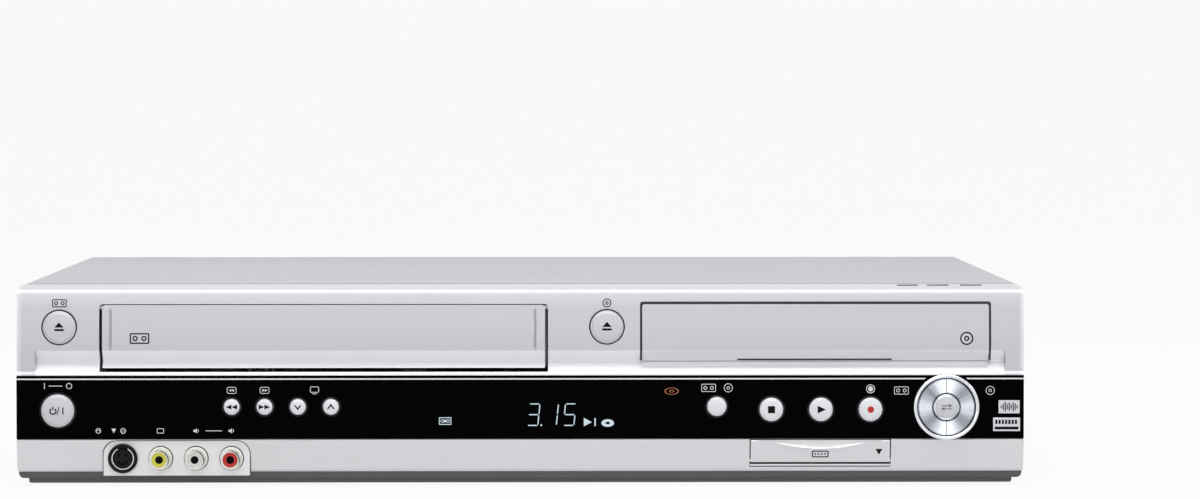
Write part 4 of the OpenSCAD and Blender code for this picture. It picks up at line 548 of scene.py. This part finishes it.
def domed(name, centre, radius, made, body, rise=BULGE, sink=0.0003, around=64, across=9):
    """Shallow dome facing -Y: at a share s of the radius it stands rise * radius * (1 - s^2) proud.

    The rings run from the middle out, and a last ring goes back by the sink, so the rim is closed."""
    share = np.append(np.linspace(0, 1, across), 1.0)
    front = np.append(rise * radius * (1 - share[:-1] ** 2), -sink)
    turn = np.linspace(0, 2 * pi, around, endpoint=False)
    x = centre[0] + radius * share[1:, None] * np.cos(turn)
    z = centre[2] + radius * share[1:, None] * np.sin(turn)
    y = np.broadcast_to(centre[1] - front[1:, None], x.shape)
    points = np.concatenate([[[centre[0], centre[1] - front[0], centre[2]]], np.stack([x, y, z], -1).reshape(-1, 3)])
    ring = np.arange(around)
    after = (ring + 1) % around
    fan = np.stack([0 * ring, 1 + ring, 1 + after], -1).tolist()
    start = 1 + around * np.arange(across - 1)[:, None]
    bands = np.stack([start + ring, start + around + ring, start + around + after, start + after], -1)
    mesh = bpy.data.meshes.new(name)
    mesh.from_pydata(points.tolist(), [], fan + bands.reshape(-1, 4).tolist())
    smooth = np.ones(len(mesh.polygons), bool)
    smooth[-around:] = False
    mesh.polygons.foreach_set("use_smooth", smooth)
    mesh.materials.append(made)
    piece = bpy.data.objects.new(name, mesh)
    bpy.context.collection.objects.link(piece)
    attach(piece, body)
    return piece


eject_sign = [np.array([[-2.0, 0.05], [2.0, 0.05], [0, 2.2]]), bar_mark(-2.0, 2.0, -1.45, -0.6)]
standby_sign = [ring_mark(1.55, 0.55, 128, 412, centre=(-1.9, -0.1)), bar_mark(-2.15, -1.65, 0.3, 1.9),
                bar_mark(0.05, 0.45, -1.6, 1.7, 0.3), bar_mark(2.1, 2.6, -1.5, 1.5)]
double_back = [arrow_mark(-1.2, 0, -2.4, 2.0), arrow_mark(1.2, 0, -2.4, 2.0)]
double_on = [arrow_mark(-1.2, 0, 2.4, 2.0), arrow_mark(1.2, 0, 2.4, 2.0)]
caps = [
    ("eject", -196.8, 64.3, 7.15, face_cap_y, eject_sign, print_dark),
    ("open", 36.8, 64.4, 7.15, face_cap_y, eject_sign, print_dark),
    ("power", -197.4, 28.85, 7.05, window_cap_y, standby_sign, print_dark),
    ("rewind", -123.3, 30.45, 3.4, window_cap_y, double_back, print_dark),
    ("forward", -109.3, 30.45, 3.4, window_cap_y, double_on, print_dark),
    ("channel_down", -95.1, 30.45, 3.4, window_cap_y, [chevron_mark(2.3, 2.0, 0.65, False)], print_dark),
    ("channel_up", -81.0, 30.45, 3.4, window_cap_y, [chevron_mark(2.3, 2.0, 0.65, True)], print_dark),
    ("select", 83.7, 30.45, 4.1, window_cap_y, [], print_dark),
    ("stop", 107.0, 29.15, 5.05, window_cap_y, [bar_mark(-1.5, 1.5, -1.5, 1.5)], print_dark),
    ("play", 128.2, 29.15, 5.05, window_cap_y, [arrow_mark(0.3, 0, 3.6, 3.3)], print_dark),
    ("record", 149.4, 29.15, 5.05, window_cap_y, [round_mark(1.4)], print_red)]
# Painted shade: a dark grey and a black finish for rings and patches that stand in for shade in gaps and round parts.
painted_shade_grey = finish("painted_shade_grey", chip(40, 40, 43), 0.5, 2600.0, spread=0.02, fleck=0.04, bump=0.01,
                   Specular_IOR_Level=0.1)
painted_shade_black = finish("painted_shade_black", chip(9, 9, 10), 0.8, 2200.0, spread=0.02, fleck=0.1, bump=0.05,
                    Specular_IOR_Level=0.1)
# Each cap gets a ring of painted shade: dark grey on the window round a window cap, black in the gap round a cap on the
# upper face.
for name, x, h, radius, y, shapes, ink in caps:
    flat = radius / 1000 - 0.0008
    centre = (x / 1000, y, base_z + h / 1000)
    domed(name + "_cap", centre, flat, cap_silver if radius > 6 else cap_pale, name + "_key")
    if shapes:
        stamp(name + "_sign", shapes, (centre[0], y - BULGE * flat, centre[2]), ink, name + "_key", deep=0.0002)
    if y == window_cap_y:
        stamp(name + "_painted_ring_shade", [ring_mark(radius + 0.85, 0.35, 0, 359.9, 72)], (centre[0], front_y, centre[2]),
              painted_shade_grey, "case")
    else:
        stamp(name + "_painted_gap_shade", [ring_mark(radius + 0.5, 0.46, 0, 359.9, 96)], (centre[0], front_y + 0.00148, centre[2]),
              painted_shade_black, "case", deep=0.0008)

at_front = (0.0, front_y, base_z)
stamp("eject_label", moved(bold_cassette, -196.8, 74.6), at_front, print_dark, "case", deep=0.0003, crowned=True)
stamp("open_label", moved(bold_disc, 36.8, 74.6), at_front, print_dark, "case", deep=0.0003, crowned=True)
stamp("flap_sign", moved([1.35 * np.asarray(shape) for shape in bold_cassette], -162.6, 59.6), at_front, print_dark,
      "flap", deep=0.0003, crowned=True)
stamp("tray_sign", moved([1.5 * np.asarray(shape) for shape in bold_disc], 190.6, 59.4), at_front, print_dark,
      "tray", deep=0.0003, crowned=True)

# Painted shade: two grey lines along each of the flap's flutes stand for the shade at its edges.
flute_painted_shade = finish("flute_painted_shade", chip(158, 160, 165), 0.5, 2600.0, spread=0.01, fleck=0.04, bump=0.01)
for side, x in (("left", -175.2), ("right", 6.0)):
    stamp(f"flap_flute_{side}", [rod_mark(x - 0.5, x - 0.28, 54.6, 72.4), rod_mark(x + 0.28, x + 0.5, 54.6, 72.4)],
          at_front, flute_painted_shade, "flap", deep=0.0003, crowned=True)

# ---------------------------------------------------------------- copy dial
# Bright plated ring round two spun half plates that press separately, and a fixed middle disc
# with a two-way sign.

dial_x, dial_z = 0.1817, base_z + 0.03025
dial_chrome = finish("dial_chrome", chip(226, 228, 233), 0.12, 1500.0, fleck=0.02, bump=0.01, Metallic=0.9)
dress(dial_chrome, "copy_bezel")


def spun_metal_painted_highlight(name, colour, centre_x, centre_z):
    """Spun plate: fine turning rings for relief, and soft spokes painted into the colour as a painted highlight of the
    turned lines.

    Rings follow the distance from the axis, spokes the angle round it:
    light = a + b * (cos(4 * angle) - 0.6 * cos(2 * angle)) + noise."""
    made = finish(name, colour, 0.26, 2500.0, Metallic=1.0)
    tree = made.node_tree
    shader = tree.nodes["Principled BSDF"]
    place = add(tree, "TexCoord").outputs["Object"]
    flat = add(tree, "Mapping", {"Vector": place, "Location": (-centre_x, -centre_z, 0.0),
                                 "Rotation": (-pi / 2, 0.0, 0.0)})
    rings = add(tree, "TexWave", {"Vector": flat.outputs[0], "Scale": 900.0, "Distortion": 0.4, "Detail": 2.0},
                wave_type="RINGS", rings_direction="Z")
    angle = add(tree, "TexGradient", {"Vector": flat.outputs[0]}, gradient_type="RADIAL")
    turns = [add(tree, "Math", {0: angle.outputs["Fac"], 1: times * pi}, operation="MULTIPLY") for times in (4, 8)]
    twice, four = (add(tree, "Math", {0: turn.outputs[0]}, operation="COSINE").outputs[0] for turn in turns)
    swing = add(tree, "Math", {0: twice, 1: -0.6, 2: four}, operation="MULTIPLY_ADD")
    streak = add(tree, "TexNoise", {"W": angle.outputs["Fac"], "Scale": 30.0, "Detail": 2.0},
                 noise_dimensions="1D")
    shade = add(tree, "Math", {0: swing.outputs[0], 1: 0.34, 2: 0.62}, operation="MULTIPLY_ADD")
    lit = add(tree, "Math", {0: streak.outputs["Fac"], 1: 0.22, 2: shade.outputs[0]}, operation="MULTIPLY_ADD")
    tone = add(tree, "VectorMath", {0: colour[:3], "Scale": lit.outputs[0]}, operation="SCALE")
    tree.links.new(tone.outputs[0], shader.inputs["Base Color"])
    relief = add(tree, "Bump", {"Height": rings.outputs["Fac"], "Strength": 0.12, "Distance": 0.00005})
    tree.links.new(relief.outputs[0], shader.inputs["Normal"])
    return made


# The plates' spokes are a painted highlight.
dial_spun_painted_highlight = spun_metal_painted_highlight("dial_spun_painted_highlight", chip(222, 226, 236), dial_x, dial_z)
dress(dial_spun_painted_highlight, "copy_left_button", "copy_right_button")

# Painted shade: black rings in the gaps round the dial's plates and round its middle disc.
stamp("dial_gap_shade", [ring_mark(12.47, 0.34, 0, 359.9, 120), ring_mark(5.97, 0.34, 0, 359.9, 72)],
      (dial_x, front_y - 0.0025, dial_z), painted_shade_black, "case")
hub_y = front_y - 0.0033
domed("dial_hub_face", (dial_x, hub_y, dial_z), 0.0048, cap_silver, "case")
two_way = [bar_mark(-2.2, 1.2, 0.45, 0.85), arrow_mark(1.7, 0.65, 1.5, 1.6),
           bar_mark(-1.2, 2.2, -0.85, -0.45), arrow_mark(-1.7, -0.65, -1.5, 1.6)]
stamp("dial_sign", two_way, (dial_x, hub_y - BULGE * 0.0048, dial_z), print_grey, "case", deep=0.0002)

# ---------------------------------------------------------------- front sockets
# Turned and plated phono sleeves round coloured inserts, and a black four-pin socket with a
# plated shell ring.

plated = finish("plated", chip(212, 211, 203), 0.28, 1800.0, fleck=0.01, bump=0.005, worn=chip(240, 240, 238),
                radius=0.0003, Metallic=1.0)
dress(plated, "phono_sleeves", "rear_phono_sleeves", "aerial_sockets")

black_moulding = finish("black_moulding", chip(15, 16, 17), 0.42, 1300.0, fleck=0.1, bump=0.08,
                        worn=chip(34, 35, 38), radius=0.0004, Specular_IOR_Level=0.15)
dress(black_moulding, "svideo_socket", "dv_socket", "mains_inlet", "rear_socket_block", "fan_frame", "fan_rotor")


def by_place(name, roughness, low, high, colours):
    """Moulding in several colours: steps along X, from low to high, as constant bands of equal width."""
    made = bpy.data.materials.new(name)
    made.use_nodes = True
    tree = made.node_tree
    shader = tree.nodes["Principled BSDF"]
    place = add(tree, "SeparateXYZ", {0: add(tree, "TexCoord").outputs["Object"]})
    step = add(tree, "MapRange", {"Value": place.outputs["X"], "From Min": low, "From Max": high})
    ramp = add(tree, "ValToRGB", {"Fac": step.outputs[0]})
    ramp.color_ramp.interpolation = "CONSTANT"
    band = ramp.color_ramp.elements
    while len(band) < len(colours):
        band.new(0.5)
    for index, colour in enumerate(colours):
        band[index].position = index / len(colours)
        band[index].color = colour
    grain = add(tree, "Group", {"Color": ramp.outputs[0], "Roughness": roughness, "Scale": 1500.0},
                node_tree=grain_group)
    tree.links.new(grain.outputs["Color"], shader.inputs["Base Color"])
    tree.links.new(grain.outputs["Roughness"], shader.inputs["Roughness"])
    relief = add(tree, "Bump", {"Height": grain.outputs["Height"], "Strength": 0.05, "Distance": 0.0001})
    tree.links.new(relief.outputs[0], shader.inputs["Normal"])
    return made


video_yellow, audio_white, audio_red = chip(222, 214, 78), chip(228, 228, 222), chip(196, 38, 36)
front_colours = by_place("front_phono_colours", 0.35, -0.1613, -0.1160, [video_yellow, audio_white, audio_red])
dress(front_colours, "phono_inserts")
rear_colours = by_place("rear_phono_colours", 0.4, 0.037, 0.133,
                        [video_yellow, audio_white, audio_white, audio_red, audio_red, video_yellow])
dress(rear_colours, "rear_phono_inserts")

pad_shade = finish("pad_shade", chip(84, 85, 89), 0.7, 2200.0, spread=0.02, fleck=0.06, bump=0.02,
                   Specular_IOR_Level=0.2)


def arch(centre, half, low, top, corner, count=10):
    """Open path up the left side, over two rounded corners and down the right side, in mm."""
    turn = np.radians(np.linspace(180, 90, count))
    left = np.stack([centre - half + corner + corner * np.cos(turn), top - corner + corner * np.sin(turn)], -1)
    right = np.stack([2 * centre - left[:, 0], left[:, 1]], -1)[::-1]
    return np.concatenate([[[centre - half, low]], left, right, [[centre + half, low]]])


# Painted shade round the sockets: black discs in the phono holes, dark crescents on the sleeves' ends, dark rings and
# crescents round their flanges, and a dark line round the pad's edge.
pad_edge = np.concatenate([arch(-146.9, 31.52, 1.6, 16.12, 6.1), arch(-146.9, 31.2, 1.6, 15.8, 5.8)[::-1]])
phono_x, socket_h = (-153.7, -138.6, -123.5), 8.4
pad_face = -0.00094
for index, x in enumerate(phono_x):
    stamp(f"phono_well_{index + 1}", [round_mark(1.68, 32)],
          (x / 1000, front_y - 0.0080, base_z + socket_h / 1000), painted_shade_black, "case", proud=0.0)

stamp("svideo_shell", [ring_mark(4.75, 0.36, 118, 422, 60)],
      (-0.1698, front_y - 0.0004, base_z + socket_h / 1000), plated, "case", deep=0.002)


def crescent(centre, radius, thick, middle, half, count=32):
    """Closed outline between an arc and a second one pulled in by thick * (1 - (turn / half)^2).

    Lengths are in mm, angles in degrees."""
    turn = np.linspace(-half, half, count)
    angle = np.radians(middle + turn)
    ray = np.stack([np.cos(angle), np.sin(angle)], -1)
    inner = (radius - 0.03 - thick * (1 - (turn / half) ** 2))[:, None] * ray
    return np.concatenate([radius * ray, inner[::-1]]) + centre


stamp("phono_shades", [crescent((x, socket_h), 4.1, 0.5, 40, 85) for x in phono_x],
      (0.0, front_y - 0.0085, base_z), painted_shade_grey, "case")
stamp("phono_flange_shade_rings", [ring_mark(5.22, 0.24, 0, 359.9, 72, (x, socket_h)) for x in phono_x], at_front,
      pad_shade, "case", proud=pad_face)
stamp("phono_rim_shades", [crescent((x, socket_h), 5.34, 0.5, 50, 100) for x in phono_x],
      at_front, painted_shade_grey, "case", proud=pad_face + 0.00002)
stamp("pad_line", [pad_edge], at_front, pad_shade, "case", proud=pad_face)
stamp("video_socket_shell", [frame_mark(7.6, 4.6, 0.6, 0.7)],
      (0.128, front_y + 0.012, base_z + socket_h / 1000), plated, "case", deep=0.0004)

# ---------------------------------------------------------------- back prints
# Thin printed frames round the socket groups of the back panel, with the two rows' numbers, a
# screen sign over each picture column and a speaker sign over each sound column, and a pale
# label with plain bars. Seen from behind, the marks' first axis runs along -X.

at_back = (0.0, 0.160, base_z)
facing_back = (-1, 0, 0)
back_marks = []
for x, middle, wide, high in ((22.0, 33.0, 18.0, 44.0), (58.0, 33.0, 44.0, 44.0), (112.0, 33.0, 44.0, 44.0),
                              (150.0, 21.5, 18.0, 21.0), (192.0, 33.0, 20.0, 44.0)):
    back_marks += moved([frame_mark(wide, high, 2.0, 0.4)], -x, middle)
sign_h, number_x = 50.6, 85.0
for x in (44.0, 126.0):
    back_marks += moved([frame_mark(3.4, 2.5, 0.35, 0.36)], -x, sign_h)
for x in (58.0, 72.0, 98.0, 112.0):
    back_marks += moved(speaker_sign, -x, sign_h)
for figure, low in (("1", 39.2), ("2", 19.2)):
    back_marks += moved(digit(figure, 2.0, 3.6, 0.5, 0.0), -number_x, low)
stamp("back_prints", back_marks, at_back, print_dark, "case", across=facing_back)
plate_edge = moved([frame_mark(44.0, 11.4, 1.0, 0.3)], 108.0, 57.0)
plate_bars = [bar_mark(88.0, 106.0, 59.4, 60.4), bar_mark(88.0, 122.0, 56.8, 57.4),
              bar_mark(88.0, 117.0, 54.4, 55.0)]
stamp("back_plate", [bar_mark(85.2, 130.8, 50.7, 63.3)], at_back, print_white, "case", across=facing_back)
stamp("back_plate_bars", plate_edge + plate_bars, at_back, print_dark, "case", across=facing_back, proud=0.00008)

# ---------------------------------------------------------------- digital video door
# Small leaning door with a bright curved finger lip at its top edge; a printed arrow shows where to
# push it, and a painted sill closes the gap below it.

lean = np.array([0.0, -1.991, 8.9]) / np.hypot(1.991, 8.9)
door_spot = np.array([0.128, front_y + 0.00080, base_z + 0.0115])
stamp("door_arrow", [arrow_mark(0, 0, 2.5, 3.0)[:, ::-1][::-1] * (1, -1) + (25.1, -0.6)], door_spot, print_dark,
      "video_door", up=lean)
plug_pins = [round_mark(0.38, 16, (x, 0)) for x in (-2.1, -0.7, 0.7, 2.1)]
stamp("door_sign", moved([frame_mark(7.2, 3.0, 0.6, 0.48)] + plug_pins, 0.0, -1.6), door_spot, print_dark,
      "video_door", up=lean)


def finger_lip(name, centre, low, radius, half, made, body, count=48):
    """Curved lip along an arc: at the offset x its foot is at low + x^2 / (2 * radius), in mm.

    Its section is a four-sided wedge that shrinks with 1 - (x / half)^2 towards both ends."""
    x = np.linspace(-half, half, count)
    share = np.maximum(1 - (x / half) ** 2, 0.02)
    foot = low + x ** 2 / (2 * radius)
    plane = -0.1 + (15.3 - foot) * 0.2237
    section = [(plane - 0.7 * share, foot), (plane + 0.5 * share, foot + 1.5 * share),
               (plane + 0.5 * share, foot), (plane + 0.1, foot - 0.4 * share)]
    points = np.stack([np.stack([centre + x, deep + front_y * 1000, height + base_z * 1000], -1)
                       for deep, height in section], 1).reshape(-1, 3) / 1000
    start = 4 * np.arange(count - 1)
    sides = [np.stack([start + k, start + (k + 1) % 4, start + 4 + (k + 1) % 4, start + 4 + k], -1) for k in range(4)]
    faces = np.concatenate(sides).tolist() + [[3, 2, 1, 0], [4 * count - 4 + k for k in range(4)]]
    mesh = bpy.data.meshes.new(name)
    mesh.from_pydata(points.tolist(), [], faces)
    mesh.materials.append(made)
    piece = bpy.data.objects.new(name, mesh)
    bpy.context.collection.objects.link(piece)
    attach(piece, body)
    return piece


finger_lip("door_lip", 128.0, 12.3, 67.0, 20.0, silver_with_painted_shade_and_highlight, "video_door")
stamp("door_sill", [bar_mark(97.9, 158.1, 4.85, 5.6)], (0.0, front_y + 0.0023, base_z), silver_with_painted_shade_and_highlight, "case",
      deep=0.0006)

# ---------------------------------------------------------------- tray and flap gaps
# Grey strips in the gaps round the disc tray's front, and black ones in its notch and the gap over the flap, are
# painted shade. A black sheet before the fan blocks the light through the gaps and is painted shade as well.

gap_painted_shade_grey = finish("gap_painted_shade_grey", chip(88, 89, 93), 0.85, 1400.0, spread=0.05, fleck=0.1, bump=0.1,
                      Specular_IOR_Level=0.15)
gap_path = np.concatenate([arch(126.0, 75.08, 50.0, 75.12, 1.2), arch(126.0, 74.15, 50.0, 74.08, 0.6)[::-1]])
stamp("tray_gap_painted_shade", [gap_path], (0.0, front_y + 0.0034, base_z), gap_painted_shade_grey, "case", deep=0.0008)
stamp("tray_foot_painted_shade", [bar_mark(51.9, 200.1, 49.61, 49.88)], (0.0, front_y + 0.0018, base_z), gap_painted_shade_grey, "case",
      deep=0.0006)
stamp("tray_notch_shade", [bar_mark(92.7, 158.8, 49.95, 50.55)], (0.0, front_y + 0.0056, base_z), painted_shade_black, "tray",
      deep=0.0006)
stamp("flap_gap_shade", [bar_mark(-178.5, 10.3, 73.4, 75.2)], (0.0, front_y + 0.0064, base_z), painted_shade_black, "case",
      deep=0.0003)
stamp("fan_painted_shade_sheet", [bar_mark(-50.0, 0.0, 16.0, 66.0)], (0.0, 0.1484, base_z), painted_shade_black, "case", deep=0.0003)

# ---------------------------------------------------------------- lip prints
# Three short plain dashes on the sloping lip at the right.

lip_slope = np.array([0.0, 18.352, 0.9]) / np.hypot(18.352, 0.9)
lip_spot = np.array([0.0, front_y + 0.018, base_z + 0.0809 + 0.0009 * (18.0 - 6.648) / 18.352])
stamp("lip_dashes", [bar_mark(162.0, 171.0, -2.4, 2.4), bar_mark(174.8, 184.2, -2.4, 2.4),
                     bar_mark(189.1, 198.3, -2.4, 2.4)], lip_spot, print_dark, "case", up=lip_slope)

# ---------------------------------------------------------------- boards
# Green fibreglass boards with copper under the mask and dark parts on top; the power board is
# brown paper laminate with a pale transformer and cans.


def board(name, mask, copper, parts, top):
    """Circuit board: below the top face the mask shows tracks from a cell pattern, above it the parts' colour."""
    made = finish(name, mask, 0.4, 900.0, fleck=0.1, bump=0.1)
    tree = made.node_tree
    shader = tree.nodes["Principled BSDF"]
    place = add(tree, "TexCoord").outputs["Object"]
    tracks = add(tree, "TexVoronoi", {"Vector": place, "Scale": 260.0}, feature="DISTANCE_TO_EDGE",
                 distance="CHEBYCHEV")
    line = add(tree, "MapRange", {"Value": tracks.outputs["Distance"], "From Min": 0.04, "From Max": 0.07,
                                  "To Min": 0.7, "To Max": 0.0})
    laid = add(tree, "Mix", {0: line.outputs[0], 6: mask, 7: copper}, data_type="RGBA")
    shade = add(tree, "TexVoronoi", {"Vector": place, "Scale": 45.0}, feature="F1")
    tint = add(tree, "MapRange", {"Value": shade.outputs["Color"], "To Min": 0.6, "To Max": 1.5})
    body = add(tree, "VectorMath", {0: parts[:3], "Scale": tint.outputs[0]}, operation="SCALE")
    split = add(tree, "SeparateXYZ", {0: place})
    over = add(tree, "Math", {0: split.outputs[top[0]], 1: top[1]}, operation="GREATER_THAN" if top[2] else "LESS_THAN")
    shown = add(tree, "Mix", {0: over.outputs[0], 6: laid.outputs[2], 7: body.outputs[0]}, data_type="RGBA")
    tree.links.new(shown.outputs[2], shader.inputs["Base Color"])
    return made


green_board = board("green_board", chip(34, 96, 60), chip(74, 138, 86), chip(44, 45, 48), ("Z", base_z + 0.00875, True))
dress(green_board, "main_board")
key_board_green = board("key_board_green", chip(34, 96, 60), chip(74, 138, 86), chip(60, 60, 62),
                        ("Y", front_y + 0.0139, False))
dress(key_board_green, "key_board")
brown_board = board("brown_board", chip(150, 112, 70), chip(176, 140, 92), chip(150, 140, 110),
                    ("Z", base_z + 0.00875, True))
dress(brown_board, "power_board")

# ---------------------------------------------------------------- chassis, decks and loader
# Zinc-plated sheet for the base, the deck plate and the cage; black and grey mouldings for the
# loader; turned aluminium for the drum; natural acetal for the gear.

zinc_sheet = finish("zinc_sheet", chip(186, 190, 192), 0.34, 420.0, spread=0.1, fleck=0.16, bump=0.03,
                    worn=chip(220, 222, 224), Metallic=0.85)
dress(zinc_sheet, "bottom_chassis", "deck_plate", "cassette_cage", "pinch_arm", "traverse_plate", "clamp_bridge")

turned_alloy = finish("turned_alloy", chip(206, 208, 212), 0.2, 2600.0, fleck=0.06, bump=0.03,
                      worn=chip(236, 237, 240), Metallic=1.0)
dress(turned_alloy, "drum_base", "head_drum", "capstan", "tape_guides")

loader_black = finish("loader_black", chip(48, 50, 54), 0.5, 1000.0, fleck=0.12, bump=0.15, worn=chip(84, 86, 90))
dress(loader_black, "loader_frame", "turntable", "optical_pickup", "supply_reel", "takeup_reel")

tray_black = finish("tray_black", chip(40, 41, 45), 0.45, 1200.0, fleck=0.1, bump=0.12, worn=chip(76, 78, 82))
dress(tray_black, "disc_tray")

acetal = finish("acetal", chip(226, 222, 206), 0.4, 1600.0, fleck=0.04, bump=0.03, worn=chip(240, 238, 226))
dress(acetal, "loading_gear")

roller_rubber = finish("roller_rubber", chip(34, 33, 34), 0.8, 1500.0, fleck=0.15, bump=0.2)
dress(roller_rubber, "pinch_roller")
